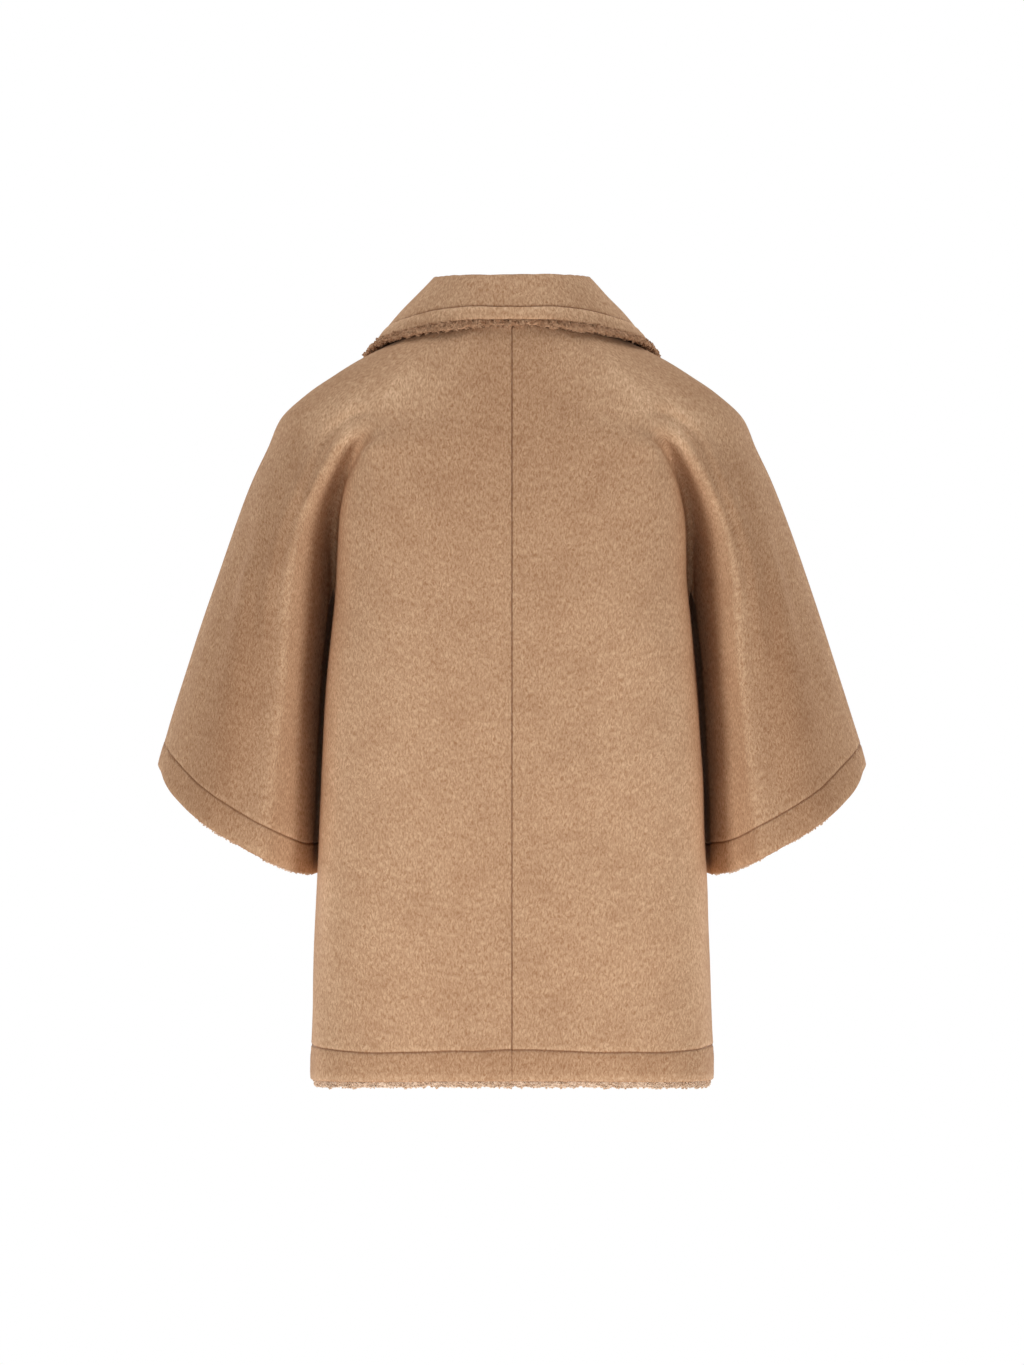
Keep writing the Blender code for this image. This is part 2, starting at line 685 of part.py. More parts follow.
def build_collar(wool, teddy):
    """The collar, and the fleece that shows below its leaf."""
    grid, normals, edge_ways = collar_sheet()
    stations, rows = grid.shape[:2]
    faces = sheet_faces(stations, rows)
    vertices, quads = wall_mesh(
        grid.reshape(-1, 3), normals.reshape(-1, 3), faces, WALL / 2, WALL / 2
    )
    add_piece("collar", vertices, quads, wool)

    upper, lower = [], []
    for s in range(stations):
        base = grid[s, -1] - edge_ways[s] * (FLEECE + SEAM_GAP + WALL / 2)
        way = grid[s, -1] - grid[s, -2]
        way = way - np.dot(way, edge_ways[s]) * edge_ways[s]
        way /= np.linalg.norm(way)
        high, low = [], []
        for reach, thick in LEAF_FLEECE:
            low.append(base + way * reach)
            high.append(base + way * reach + edge_ways[s] * thick)
        upper.append(high)
        lower.append(low)
    upper, lower = np.array(upper), np.array(lower)
    strips = upper.shape[1]
    faces = sheet_faces(stations, strips)
    middle = (upper + lower) / 2
    half = (upper - lower) / 2
    vertices, quads = wall_mesh(
        middle.reshape(-1, 3), half.reshape(-1, 3), faces, 1.0, 1.0
    )
    add_piece("collar_fleece", vertices, quads, teddy)


# ---------------------------------------------------------------- fleece edges and buttons


def tube_ring(places, heights, sleeve):
    """Points and directions of one ring of the body or of a sleeve, by signed place."""
    points, normals = [], []
    for place, height in zip(places, heights):
        at = np.atleast_1d(float(abs(place)))
        level = np.atleast_1d(float(height))
        point = surface_point(at, level, sleeve)[0]
        if min(abs(at[0] - SIDE_BACK), abs(at[0] - SIDE_FRONT)) < 0.001:
            normal = side_normal(at, level, sleeve)
        else:
            normal = facing(surface_point, at, level, sleeve)[0]
        turn = np.array([-1.0, 1.0, 1.0]) if place < 0 else 1.0
        points.append(point * turn)
        normals.append(normal * turn)
    return points, normals


def fleece_band(name, places, hem, rows, sleeve, teddy, mirrored=False):
    """A strip of fleece inside a hem, from the wall's last row of points but one."""
    hem_heights = [float(hem(abs(place))) for place in places]
    high = UNDERARM - SLIT_EASE
    share = (rows - 2) / (rows - 1)
    levels = (
        [high + (low - high) * share for low in hem_heights],
        hem_heights,
        [low - FLEECE_DROP for low in hem_heights],
    )
    points, normals, ids = [], [], []
    for heights in levels:
        ring, ways = tube_ring(places, heights, sleeve)
        row = list(range(len(points), len(points) + len(ring)))
        ids.append(row + row[:1] if sleeve else row)
        points += ring
        normals += ways
    start = WALL + FLEECE_GAP
    vertices, quads = wall_mesh(
        np.array(points), np.array(normals), grid_faces(ids), -start, start + HEM_FLEECE
    )
    add_piece(name, vertices, quads, teddy, mirrored)


def build_fleece(teddy):
    """Fleece at the body hem, in one strip, and round each sleeve hem."""
    back = [p for p in BACK_PLACES if p <= SIDE_BACK]
    front = [p for p in FRONT_PLACES if p > SIDE_FRONT]
    half = back + front
    ring = [-p for p in reversed(half[1:])] + half
    fleece_band("hem_fleece", ring, body_hem, BODY_ROWS, False, teddy)
    loop = [p for p in BACK_PLACES if p >= SIDE_BACK]
    loop += [p for p in FRONT_PLACES[1:] if p < SIDE_FRONT]
    fleece_band("cuff_fleece_right", loop, CUFF_AT, SLEEVE_ROWS, True, teddy)
    fleece_band("cuff_fleece_left", loop, CUFF_AT, SLEEVE_ROWS, True, teddy, True)


def build_button(name, height, horn):
    """A round button with a raised rim and a dished middle, on the upper front."""
    at = np.atleast_1d(CENTER_FRONT)
    level = np.atleast_1d(float(height))
    point = surface_point(at, level)[0]
    normal = facing(surface_point, at, level)[0]
    side = np.array([1.0, 0.0, 0.0])
    up = np.cross(normal, side)
    base = point + normal * BUTTON_CLEAR
    sides = BUTTON_SIDES
    vertices, faces = [], []
    for part, rise in BUTTON_PROFILE:
        for k in range(sides):
            turn = 2 * math.pi * k / sides
            radius = BUTTON_RADIUS * part
            vertices.append(
                base
                + side * radius * math.cos(turn)
                + up * radius * math.sin(turn)
                + normal * BUTTON_THICK * rise
            )
    for r in range(len(BUTTON_PROFILE) - 1):
        for k in range(sides):
            a, b = r * sides + k, r * sides + (k + 1) % sides
            faces.append((a, b, b + sides, a + sides))
    faces.append(tuple(reversed(range(sides))))
    last = (len(BUTTON_PROFILE) - 1) * sides
    faces.append(tuple(range(last, last + sides)))
    add_piece(name, vertices, faces, horn)


def main():
    """Clears the scene and builds every piece."""
    for old in list(bpy.data.objects):
        bpy.data.objects.remove(old, do_unlink=True)
    wool = material("camel_wool", WOOL, 0.9)
    teddy = material("teddy_fleece", TEDDY, 0.95)
    horn = material("horn_brown", HORN, 0.35)
    build_panels(wool)
    build_collar(wool, teddy)
    build_fleece(teddy)
    for number, height in enumerate(BUTTON_HEIGHTS, start=1):
        build_button(f"button_{number}", height, horn)


main()
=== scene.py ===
import math

import bmesh
import bpy
import numpy as np
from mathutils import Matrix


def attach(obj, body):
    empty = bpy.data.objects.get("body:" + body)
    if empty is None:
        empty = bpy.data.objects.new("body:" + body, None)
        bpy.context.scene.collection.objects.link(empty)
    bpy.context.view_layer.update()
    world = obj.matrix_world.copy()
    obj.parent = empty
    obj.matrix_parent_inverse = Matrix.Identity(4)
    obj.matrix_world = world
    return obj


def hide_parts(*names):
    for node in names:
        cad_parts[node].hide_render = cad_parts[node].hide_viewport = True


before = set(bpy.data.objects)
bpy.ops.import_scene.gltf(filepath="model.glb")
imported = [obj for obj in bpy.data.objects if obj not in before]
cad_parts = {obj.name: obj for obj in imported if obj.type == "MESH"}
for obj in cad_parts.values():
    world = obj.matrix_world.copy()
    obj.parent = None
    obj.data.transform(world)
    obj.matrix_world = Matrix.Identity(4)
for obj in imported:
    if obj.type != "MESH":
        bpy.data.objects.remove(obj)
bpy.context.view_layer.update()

mm = 0.001
otherSide = np.array([-1.0, 1.0, 1.0])  # turns the right half into the left one

# Half of the cape is one surface. A point of it is given by its height in mm and its place
# on the ring: 0 middle back, 3.5 side seam, 5 ridge of the sleeve back, 6.8 seam along the
# shoulder, 7 outermost line, 9 ridge of the sleeve front, 10.5 side seam, 14 middle front.
cape = {
    "wall": 2.8,  # thickness of the cloth
    "underarm": -240.0,
    "neckBack": 9.5,
    "neckFront": -42.0,
    "neckDip": 1.3,
    "hemBack": -690.6,
    "hemSide": -697.0,
    "lap": 25.0,  # how far each front runs past the middle
    "lapEase": 40.0,
    "lapClear": 0.7,
    "foldRound": 6.0,
    "slitEase": 22.0,
    "overarm": 6.8,
    "outermost": 7.0,
    "sideBack": 3.5,
    "sideFront": 10.5,
    "centerFront": 14.0,
    "blendTop": -80.0,
    "blendBottom": -115.0,
    "hullPower": 2.1,
    "backPower": 3.6,
    "frontPower": 2.3,
    "wallPowerBack": 1.0,
    "wallPowerCuff": 0.2,  # added toward the cuff, where the sleeve is fuller
    "cuffSwellTop": -330.0,
    "cuffSwellLength": 170.0,
    "wallPowerFront": 1.5,
    "sleeveBackPower": 1.5,
    "sleeveFrontPower": 1.9,
}

# height, half width, back, front of the whole outline
hullColumns = ("height", "halfWidth", "back", "front")
hullRows = (
    (20, 30, -74, 40), (12, 48, -79, 45), (0, 75, -87, 52), (-12, 107, -92, 58),
    (-30, 143.5, -98.5, 67), (-45, 167.5, -102.5, 74), (-60, 189.5, -106, 80),
    (-85, 215.8, -111, 90), (-110, 227, -115, 98.5), (-140, 241, -118, 107),
    (-180, 256.5, -121, 115), (-240, 277.5, -122, 122), (-320, 304, -122, 122),
    (-405, 330, -121.5, 121), (-520, 364, -122, 121), (-697, 364, -126, 124),
)

# body and sleeve as rounds of their own, with a fold between them
foldColumns = (
    "height", "body", "gap", "foldBack", "foldFront", "ridgeBackX", "ridgeBack",
    "ridgeFrontX", "ridgeFront", "peak", "leanBack", "leanFront",
)
foldRows = (
    (-80, 120, 7, -98, 80, 135, -92, 132, 78, 2, 0, 0),
    (-96, 128, 9, -92, 83, 141, -92, 144, 84, 3, 0, 0),
    (-112, 138, 10, -80, 74, 154, -90.5, 161, 85, 4, 0, 0),
    (-130, 145.5, 11, -62, 60, 164, -91, 169, 87, 4, 0, 2),
    (-150, 153.5, 10, -45, 42, 176, -90, 170, 89, 4, 0, 4),
    (-180, 159.5, 9, -25, 25, 190, -89, 175, 93, 5, 0, 7),
    (-210, 161.5, 8, -11, 12, 198, -88.5, 177, 96, 5, 0, 9),
    (-240, 162.5, 7, -3.15, 3.15, 203, -88.5, 178, 98, 6, 0, 11),
    (-320, 170.7, 6, -3.15, 3.15, 207, -90, 182, 102, 7, 0, 12),
    (-405, 176, 5, -3.15, 3.15, 216, -92, 187, 105, 9, 0, 12),
    (-520, 181, 4.5, -3.15, 3.15, 231, -95, 192, 108, 12, 0, 12),
    (-600, 184, 4.5, -3.15, 3.15, 239, -95, 192, 108, 12, 0, 12),
    (-697, 187, 4.5, -3.15, 3.15, 240, -95, 192, 108, 12, 0, 12),
)
anglePlaces = (0, 3, 4, 5, 6.8, 7, 9, 10, 11, 14)
angles = (0, 34, 39, 45, 85, 90, 135, 141, 146, 180)
cuffPlaces = (
    3.5, 4, 4.25, 4.5, 4.75, 5, 5.3, 5.73, 6.1, 6.4, 6.6, 6.8, 7, 7.5, 8.15, 9, 9.5, 9.75, 10, 10.5,
)
cuffHeights = (
    -507, -506.7, -505, -501.5, -496.5, -489.5, -475.5, -457.5, -443, -430.5, -421, -411, -406.5, -409,
    -430, -471, -502, -507, -508, -507,
)

# soft folds: place and height at both ends, half width, depth at both ends, minus is a ridge
creaseColumns = ("topPlace", "top", "lowPlace", "low", "topHalf", "lowHalf", "topDepth", "lowDepth")
creaseRows = (
    (5.26, -100, 5.20, -300, 0.11, 0.11, 2.0, 1.5),  # trough beside the bright crest
    (5.50, -106, 5.40, -330, 0.13, 0.14, -1.2, -0.7),
    (5.82, -100, 5.25, -410, 0.22, 0.16, 3.0, 1.8),  # long hollow down the sleeve back
    (5.95, -220, 5.62, -440, 0.20, 0.24, -1.8, -1.6),
    (6.22, -190, 6.18, -425, 0.20, 0.22, 2.4, 2.0),
    (8.54, -128, 8.48, -400, 0.30, 0.30, 4.0, 3.0),
    (8.15, -130, 8.10, -410, 0.25, 0.30, -3.0, -2.0),
    (8.90, -150, 8.80, -330, 0.14, 0.16, -1.2, -0.8),
    (0.15, -380, 0.62, -700, 0.22, 0.30, 0.5, 4.0),
    (13.5, -420, 13.1, -700, 0.30, 0.35, 0.5, 3.0),
    (1.30, -300, 1.55, -640, 0.30, 0.40, 0.8, 1.4),  # faint waves of the back
    (2.30, -420, 2.35, -690, 0.22, 0.30, 0.6, 1.2),
    (12.2, -300, 12.0, -660, 0.30, 0.40, 0.8, 1.6),
)
creaseStart = 24.0
creaseEnd = 60.0


def smoothCurve(places, values):
    # a curve through the values that never overshoots them
    x, y = np.array(places, float), np.array(values, float)
    if x[0] > x[-1]:
        x, y = x[::-1], y[::-1]
    step = np.diff(x)
    rise = np.diff(y) / step
    slope = np.zeros_like(y)
    slope[0], slope[-1] = rise[0], rise[-1]
    for k in range(1, len(x) - 1):
        if rise[k - 1] * rise[k] > 0:
            slope[k] = 2 * rise[k - 1] * rise[k] / (rise[k - 1] + rise[k])

    def curve(at):
        at = np.clip(at, x[0], x[-1])
        k = np.clip(np.searchsorted(x, at, side="right") - 1, 0, len(x) - 2)
        t = (at - x[k]) / step[k]
        s = 1 - t
        ends = y[k] * (1 + 2 * t) * s * s + y[k + 1] * t * t * (3 - 2 * t)
        return ends + step[k] * t * s * (slope[k] * s - slope[k + 1] * t)

    return curve


def tableCurves(columns, rows):
    heights = [row[0] for row in rows]
    return {name: smoothCurve(heights, [row[k] for row in rows])
            for k, name in enumerate(columns) if k > 0}


hullAt = tableCurves(hullColumns, hullRows)
foldAt = tableCurves(foldColumns, foldRows)
cuffAt = smoothCurve(cuffPlaces, cuffHeights)


def ease(value):
    t = np.clip(value, 0, 1)
    return t * t * (3 - 2 * t)


def within(value, start, stop, startEase, stopEase):
    # 0 outside start and stop, easing to 1 inside them
    return ease((value - start) / startEase) * ease((stop - value) / stopEase)


def bell(distance, half):
    return np.exp(-((distance / half) ** 2))


def quarter(part, power):
    # a quarter of a rounded outline: 2 is a circle, more is squarer
    angle = np.clip(part, 0, 1) * math.pi / 2
    across, ahead = np.sin(angle), np.cos(angle)
    reach = (across**power + ahead**power) ** (-1 / power)
    return across * reach, ahead * reach


def hullPoint(place, height):
    # the outline above the folds, one round
    angle = np.interp(place, anglePlaces, angles)
    behind = angle <= 90
    across, ahead = quarter(np.where(behind, angle, 180 - angle) / 90, cape["hullPower"])
    depth = np.where(behind, hullAt["back"](height), hullAt["front"](height))
    return hullAt["halfWidth"](height) * across, depth * ahead


def foldedPoint(place, height):
    # body, fold and sleeve, one after the other along the ring
    behind = place <= cape["outermost"]
    k = np.where(behind, place, cape["centerFront"] - place)
    toward = np.where(behind, -1.0, 1.0)
    at = {name: foldAt[name](height) for name in foldColumns[1:]}
    middle = np.where(behind, hullAt["back"](height), hullAt["front"](height))
    parted = ease((cape["underarm"] - height) / cape["slitEase"])
    fold = np.where(behind, at["foldBack"], at["foldFront"]) * (1 - parted)
    ridgeX = np.where(behind, at["ridgeBackX"], at["ridgeFrontX"])
    ridgeY = np.where(behind, at["ridgeBack"], at["ridgeFront"])
    turnSize = np.clip(toward * (ridgeY - fold) / 2, 0, cape["foldRound"])
    start = fold + toward * turnSize
    wallX = at["body"] + at["gap"]
    halfGap = at["gap"] / 2 * (1 - parted)

    power = np.where(behind, cape["backPower"], cape["frontPower"])
    across, ahead = quarter(k / 3, power)
    body = at["body"] * across, start + (middle - start) * ahead
    turn = np.clip((k - 3) * 2, 0, 1) * math.pi / 2
    inner = at["body"] + halfGap * (1 - np.cos(turn)), start - toward * turnSize * np.sin(turn)
    turn = np.clip((4 - k) * 2, 0, 1) * math.pi / 2
    outer = wallX - halfGap * (1 - np.cos(turn)), start - toward * turnSize * np.sin(turn)
    up = np.clip(k - 4, 0, 1)
    swell = ease((cape["cuffSwellTop"] - height) / cape["cuffSwellLength"])
    wallPower = cape["wallPowerBack"] + cape["wallPowerCuff"] * swell
    rise, rest = quarter(up, np.where(behind, wallPower, cape["wallPowerFront"]))
    lean = np.where(behind, at["leanBack"], at["leanFront"])
    wall = (wallX + (ridgeX - wallX) * (1 - rest) - lean * np.sin(up * math.pi) ** 2,
            start + (ridgeY - start) * rise)
    power = np.where(behind, cape["sleeveBackPower"], cape["sleeveFrontPower"])
    across, ahead = quarter((k - 5) / 2, power)
    sleeve = (ridgeX + (hullAt["halfWidth"](height) - ridgeX) * across,
              at["peak"] + (ridgeY - at["peak"]) * ahead)

    parts = [k <= 3, k <= 3.5, k <= 4, k <= 5]
    x = np.select(parts, [body[0], inner[0], outer[0], wall[0]], sleeve[0])
    y = np.select(parts, [body[1], inner[1], outer[1], wall[1]], sleeve[1])
    return x, y


def ringPoint(place, height):
    hullX, hullY = hullPoint(place, height)
    foldX, foldY = foldedPoint(place, height)
    share = ease((cape["blendTop"] - height) / (cape["blendTop"] - cape["blendBottom"]))
    return hullX + (foldX - hullX) * share, hullY + (foldY - hullY) * share


# the rings are worked out once, softened where the fold between body and sleeve begins
ringCut = {
    "top": 26.0,
    "bottom": -712.0,
    "rowStep": 2.0,
    "columns": 1401,
    "soften": 9.0,  # along the ring
    "softTop": -165.0,
    "softEnd": -225.0,
    "softPlaces": ((1.6, 6.2, 1.2, 1.0), (7.8, 12.4, 1.0, 1.2)),
    "crestSoft": 2.8,
    "crestHalf": 0.5,
    "crestPlaces": (5, 9),
}


def softened(x, y, reach):
    # one ring with every point moved to the mean of its surroundings
    arc = np.concatenate([[0], np.cumsum(np.hypot(np.diff(x), np.diff(y)))])
    newX, newY, weights = 0 * x, 0 * y, 0.0
    for tap in np.linspace(-2, 2, 9):
        at = arc + tap * reach
        at = np.where(at < 0, -at, at)
        at = np.where(at > arc[-1], 2 * arc[-1] - at, at)
        weight = math.exp(-tap * tap / 2)
        mirrored = np.where((arc + tap * reach < 0) | (arc + tap * reach > arc[-1]), -1.0, 1.0)
        newX = newX + weight * mirrored * np.interp(at, arc, x)
        newY = newY + weight * np.interp(at, arc, y)
        weights += weight
    return newX / weights, newY / weights


def ringTables():
    cut = ringCut
    count = 1 + round((cut["top"] - cut["bottom"]) / cut["rowStep"])
    heights = cut["top"] - cut["rowStep"] * np.arange(count)
    places = np.linspace(0, cape["centerFront"], cut["columns"])
    near = sum(within(places, *row) for row in cut["softPlaces"])
    crest = sum(ease(1 - np.abs(places - ridge) / cut["crestHalf"]) for ridge in cut["crestPlaces"])
    whole = np.empty((count, len(places), 2))
    for r, height in enumerate(heights):
        x, y = ringPoint(places, height)
        soft = cut["soften"] * ease((height - cut["softEnd"]) / (cut["softTop"] - cut["softEnd"]))
        x, y = softened(x, y, np.maximum(soft * near, cut["crestSoft"] * crest))
        whole[r, :, 0], whole[r, :, 1] = x, y
    sleeve = whole.copy()
    first, last = np.searchsorted(places, (cape["sideBack"], cape["sideFront"]))
    for columns, side in ((slice(0, first + 1), cape["sideBack"] + 1e-6),
                          (slice(last, None), cape["sideFront"] - 1e-6)):
        for r, height in enumerate(heights):
            if height < cape["underarm"]:
                x, y = ringPoint(np.array([side]), height)
                sleeve[r, columns, 0], sleeve[r, columns, 1] = x[0], y[0]
    return whole, sleeve


wholeRing, sleeveRing = ringTables()


def plainPoint(place, height, sleeve):
    # a point of the cloth without creases, read between the rings' rows and columns
    place, height = np.broadcast_arrays(np.asarray(place, float), np.asarray(height, float))
    beyond, before = place > cape["centerFront"], place < 0
    place = np.where(beyond, 2 * cape["centerFront"] - place, np.abs(place))
    table = sleeveRing if sleeve else wholeRing
    row = np.clip((ringCut["top"] - height) / ringCut["rowStep"], 0, len(table) - 1.001)
    column = np.clip(place / cape["centerFront"] * (ringCut["columns"] - 1), 0, ringCut["columns"] - 1.001)
    r, c = row.astype(int), np.floor(column + 1e-7).astype(int)
    down, along = (row - r)[..., None], np.clip(column - c, 0, 1)[..., None]
    upper = table[r, c] * (1 - along) + table[r, c + 1] * along
    lower = table[r + 1, c] * (1 - along) + table[r + 1, c + 1] * along
    flat = upper * (1 - down) + lower * down
    x = np.where(beyond | before, -flat[..., 0], flat[..., 0])
    return np.stack([x, flat[..., 1], height], axis=-1)


def facing(pointAt, place, height, sleeve=False):
    # the way the cloth faces, outwards
    if sleeve:
        place = np.clip(place, cape["sideBack"] + 0.05, cape["sideFront"] - 0.05)
    along = pointAt(place + 0.02, height, sleeve) - pointAt(place - 0.02, height, sleeve)
    down = pointAt(place, height - 0.5, sleeve) - pointAt(place, height + 0.5, sleeve)
    normal = np.cross(down, along)
    return normal / np.linalg.norm(normal, axis=-1, keepdims=True)


def creaseDepth(place, height):
    total = 0 * place
    for row in creaseRows:
        c = dict(zip(creaseColumns, row))
        share = np.clip((c["top"] - height) / (c["top"] - c["low"]), 0, 1)
        middle = c["topPlace"] + (c["lowPlace"] - c["topPlace"]) * share
        half = c["topHalf"] + (c["lowHalf"] - c["topHalf"]) * share
        depth = c["topDepth"] + (c["lowDepth"] - c["topDepth"]) * share
        fade = ease((c["top"] - height) / creaseStart + 0.5)
        fade = fade * ease((height - c["low"]) / creaseEnd + 1)
        total = total + depth * fade * bell(place - middle, half)
    return total


# short folds that hook over the top of the sleeve's fold: x and height along each, half width, depth
hookRows = (
    (((186, -146), (172, -108), (157, -92), (146, -84), (133, -82), (124, -87), (118, -98)), 5.0, 4.4),
    (((190, -178), (176, -135), (160, -110), (146, -97), (136, -95)), 5.0, -3.2),
    (((149, -130), (142, -114), (133, -106), (123, -102)), 4.5, 3.6),
)


def hookDepth(x, height):
    total = 0 * x
    for line, half, depth in hookRows:
        near, along, length = 1e6 + 0 * x, 0 * x, 0.0
        for (x0, z0), (x1, z1) in zip(line, line[1:]):
            step = math.hypot(x1 - x0, z1 - z0)
            t = np.clip(((x - x0) * (x1 - x0) + (height - z0) * (z1 - z0)) / step**2, 0, 1)
            far = np.hypot(x - x0 - t * (x1 - x0), height - z0 - t * (z1 - z0))
            along = np.where(far < near, length + t * step, along)
            near = np.minimum(far, near)
            length += step
        share = along / length
        faded = depth * ease(share / 0.35) * ease((1 - share) / 0.3)
        total = total + faded * bell(near, half)
    return total


def surfacePoint(place, height, sleeve=False):
    plain = plainPoint(place, height, sleeve)
    mirrored = np.where(place > cape["centerFront"], 2 * cape["centerFront"] - place, np.abs(place))
    normal = facing(plainPoint, place, height, sleeve)
    hooked = hookDepth(np.abs(plain[..., 0]), height)
    # on the back alone
    hooked = hooked * ease((cape["outermost"] - mirrored) / 0.5) * ease(-plain[..., 1] / 30 - 1)
    return plain - normal * (creaseDepth(mirrored, height) + hooked)[..., None]


def neckline(place):
    # height of the neck edge
    mirrored = np.minimum(place, 2 * cape["centerFront"] - place)
    ahead = np.cos(np.radians(np.interp(mirrored, anglePlaces, angles)))
    dip = cape["neckFront"] * np.abs(ahead) ** cape["neckDip"]
    return np.where(ahead >= 0, cape["neckBack"] * ahead, dip)


def bodyHem(place):
    # highest at the middle of the back, level from the rounding of the body on
    share = np.cos(np.clip(place / 3, 0, 1) * math.pi / 2)
    return cape["hemSide"] + (cape["hemBack"] - cape["hemSide"]) * share


def sink(points, normals, under):
    # the under front lies just inside the upper one where they lap
    if not under:
        return points
    share = ease((cape["lap"] + cape["lapEase"] - points[..., 0]) / cape["lapEase"])
    share = np.where(points[..., 1] > 0, share, 0.0)
    return points - normals * (share * (cape["wall"] + cape["lapClear"]))[..., None]


def unit(v):
    return v / (np.linalg.norm(v, axis=-1, keepdims=True) + 1e-12)


def makeMesh(name, points, faces, materials, faceMaterial=None, uv=None, attributes=None, mirrored=False):
    # one mesh in metres from points in millimetres
    points = np.array(points, float) * mm
    faces = np.array(faces, int)
    if mirrored:
        points = points * otherSide
        faces = faces[:, ::-1]
    mesh = bpy.data.meshes.new(name)
    mesh.vertices.add(len(points))
    mesh.vertices.foreach_set("co", points.astype(np.float32).ravel())
    mesh.loops.add(faces.size)
    mesh.loops.foreach_set("vertex_index", faces.ravel().astype(np.int32))
    mesh.polygons.add(len(faces))
    mesh.polygons.foreach_set("loop_start", np.arange(0, faces.size, faces.shape[1], dtype=np.int32))
    if faceMaterial is not None:
        mesh.polygons.foreach_set("material_index", np.array(faceMaterial, np.int32))
    mesh.update(calc_edges=True)
    if uv is not None:
        layer = mesh.uv_layers.new(name="cloth")
        layer.data.foreach_set("uv", (np.array(uv) * mm)[faces.ravel()].astype(np.float32).ravel())
    for key, values in (attributes or {}).items():
        made = mesh.attributes.new(key, "FLOAT", "POINT")
        made.data.foreach_set("value", np.array(values, np.float32))
    for finish in materials:
        mesh.materials.append(finish)
    mesh.validate()
    mesh.shade_smooth()
    piece = bpy.data.objects.new(name, mesh)
    bpy.context.scene.collection.objects.link(piece)
    return piece


def gridQuads(ids):
    # quads between rows of point numbers that run down, facing out
    a, b = ids[:-1, :-1], ids[1:, :-1]
    c, d = ids[1:, 1:], ids[:-1, 1:]
    return np.stack([a, b, c, d], axis=-1).reshape(-1, 4)


def edgeWall(faces, count):
    # the narrow wall between the outer and the inner face of a shell
    directed = dict.fromkeys(
        (a, b) for face in faces.tolist() for a, b in zip(face, face[1:] + face[:1]))
    return [(b, a, a + count, b + count) for a, b in directed if (b, a) not in directed]


def wave(u, v, seed, size):
    # smooth unevenness from -1 to 1, over lengths of about this size
    rng = np.random.default_rng(seed)
    total = 0 * u
    for k in range(7):
        turn = rng.uniform(0, math.pi)
        length = size * rng.uniform(0.6, 1.7)
        total = total + np.sin((u * math.cos(turn) + v * math.sin(turn)) * 2 * math.pi / length
                               + rng.uniform(0, 6.28))
    return total / 3.2


def rolled(distance, radius):
    # how far a rounded edge falls away at this distance from the edge
    t = np.clip(distance / radius, 0, 1)
    return radius * (1 - np.sqrt(1 - (1 - t) ** 2 * 0.96))


def closedUp(piece, mergeWithin=0.0):
    # closes what is open and turns every face outwards
    shape = bmesh.new()
    shape.from_mesh(piece.data)
    if mergeWithin:
        bmesh.ops.remove_doubles(shape, verts=shape.verts[:], dist=mergeWithin)
    rim = [edge for edge in shape.edges if edge.is_boundary]
    if rim:
        bmesh.ops.holes_fill(shape, edges=rim, sides=0)
    bmesh.ops.recalc_face_normals(shape, faces=shape.faces[:])
    shape.to_mesh(piece.data)
    shape.free()
    return piece


# two backs and two fronts, each with its half sleeve cut in one
panelCut = {
    "step": 3.6,  # about how far apart the points are
    "samples": 321,
    "upperLength": 225,  # neckline to underarm
    "bodyLength": 457,
    "bodyColumns": 56,
    "sleeveLength": 225,
    "sleeveColumns": 54,
    "hemStitch": 28.4,  # the topstitching above the body and sleeve hems
    "lapStitch": 12.0,
    "stitchDip": 0.85,
    "stitchHalf": 1.15,
    "bandPuff": 0.5,
    "bandEase": 8.0,
    "pucker": 0.34,
    "puckerHalf": 11.0,
    "wobble": 0.5,  # the stitching wanders this much
    "wobbleLength": 60.0,
    "pressHalf": 0.85,
    # painted shade in the middle back seam and along the hem's edge, where the wool meets the fleece
    "seamPressedShade": 0.75,
    "paintedHemEdgeShade": 0.6,
    # painted highlights at the rolled hem edge, on the ledge above the stitching and beside the overarm
    # seam, painted shade on the turned body band and cuff band
    "paintedEdgeHighlight": 0.06,
    "paintedLedgeHighlight": 0.10,
    "paintedSeamHighlight": 0.20,
    "paintedBandShading": -0.14,
    "paintedCuffShade": -0.04,
    "overarmDrop": 7.0,  # the cuff stitching drops toward the overarm seam
    "overarmPlace": 6.9,
    "overarmHalf": 0.55,
    "lapStart": 14,  # row where the stitching beside the front edge begins
    "puckerLength": 15.0,
    "seamRoll": 1.5,
    "hemRoll": 1.9,
    "uneven": 0.9,
    "unevenSize": 130.0,
    "calm": 40.0,  # edges stay even over this width
    "turnIn": 0.55,  # how much of a rolled edge the inner face follows
    "turnRolls": {"free": 1.6, "hem": 1.9, "side": 1.6},
    "leastWall": 1.7,
    "edgeBand": (4, 3),  # middle and half width of each painted highlight line
    "ledgeBand": (2.6, 1.8),
    "seamBand": (1.6, 1.4),
    "edgeSteps": (0, 0.2, 0.5, 0.9, 1.4, 2.1, 3.2, 5.0),
    "hemSteps": (
        39.0, 36.5, 34.7, 33.5, 32.6, 31.8, 31.0, 30.3, 29.6, 29.0, 28.4, 27.8, 27.2, 26.6, 26.0, 25.3,
        24.4, 23.0, 20.5, 17.5, 14.0, 10.5, 7.5, 5.0, 3.4, 2.3, 1.5, 0.9, 0.5, 0.2, 0.0,
    ),
}


def upperMix():
    # each row is a mix of neckline, underarm and hem heights, plus a distance
    share = np.linspace(0, 1, 1 + round(panelCut["upperLength"] / panelCut["step"]))
    return np.array([(1 - s, s, 0, 0) for s in share])


def lowerMix(length):
    cut = panelCut
    band = cut["hemSteps"][0]
    share = np.linspace(0, 1, 1 + round((length - band) / cut["step"]))[1:]
    rows = [(0, 1 - s, s, band * s) for s in share]
    rows += [(0, 0, 1, d) for d in cut["hemSteps"][1:]]
    return np.array(rows)


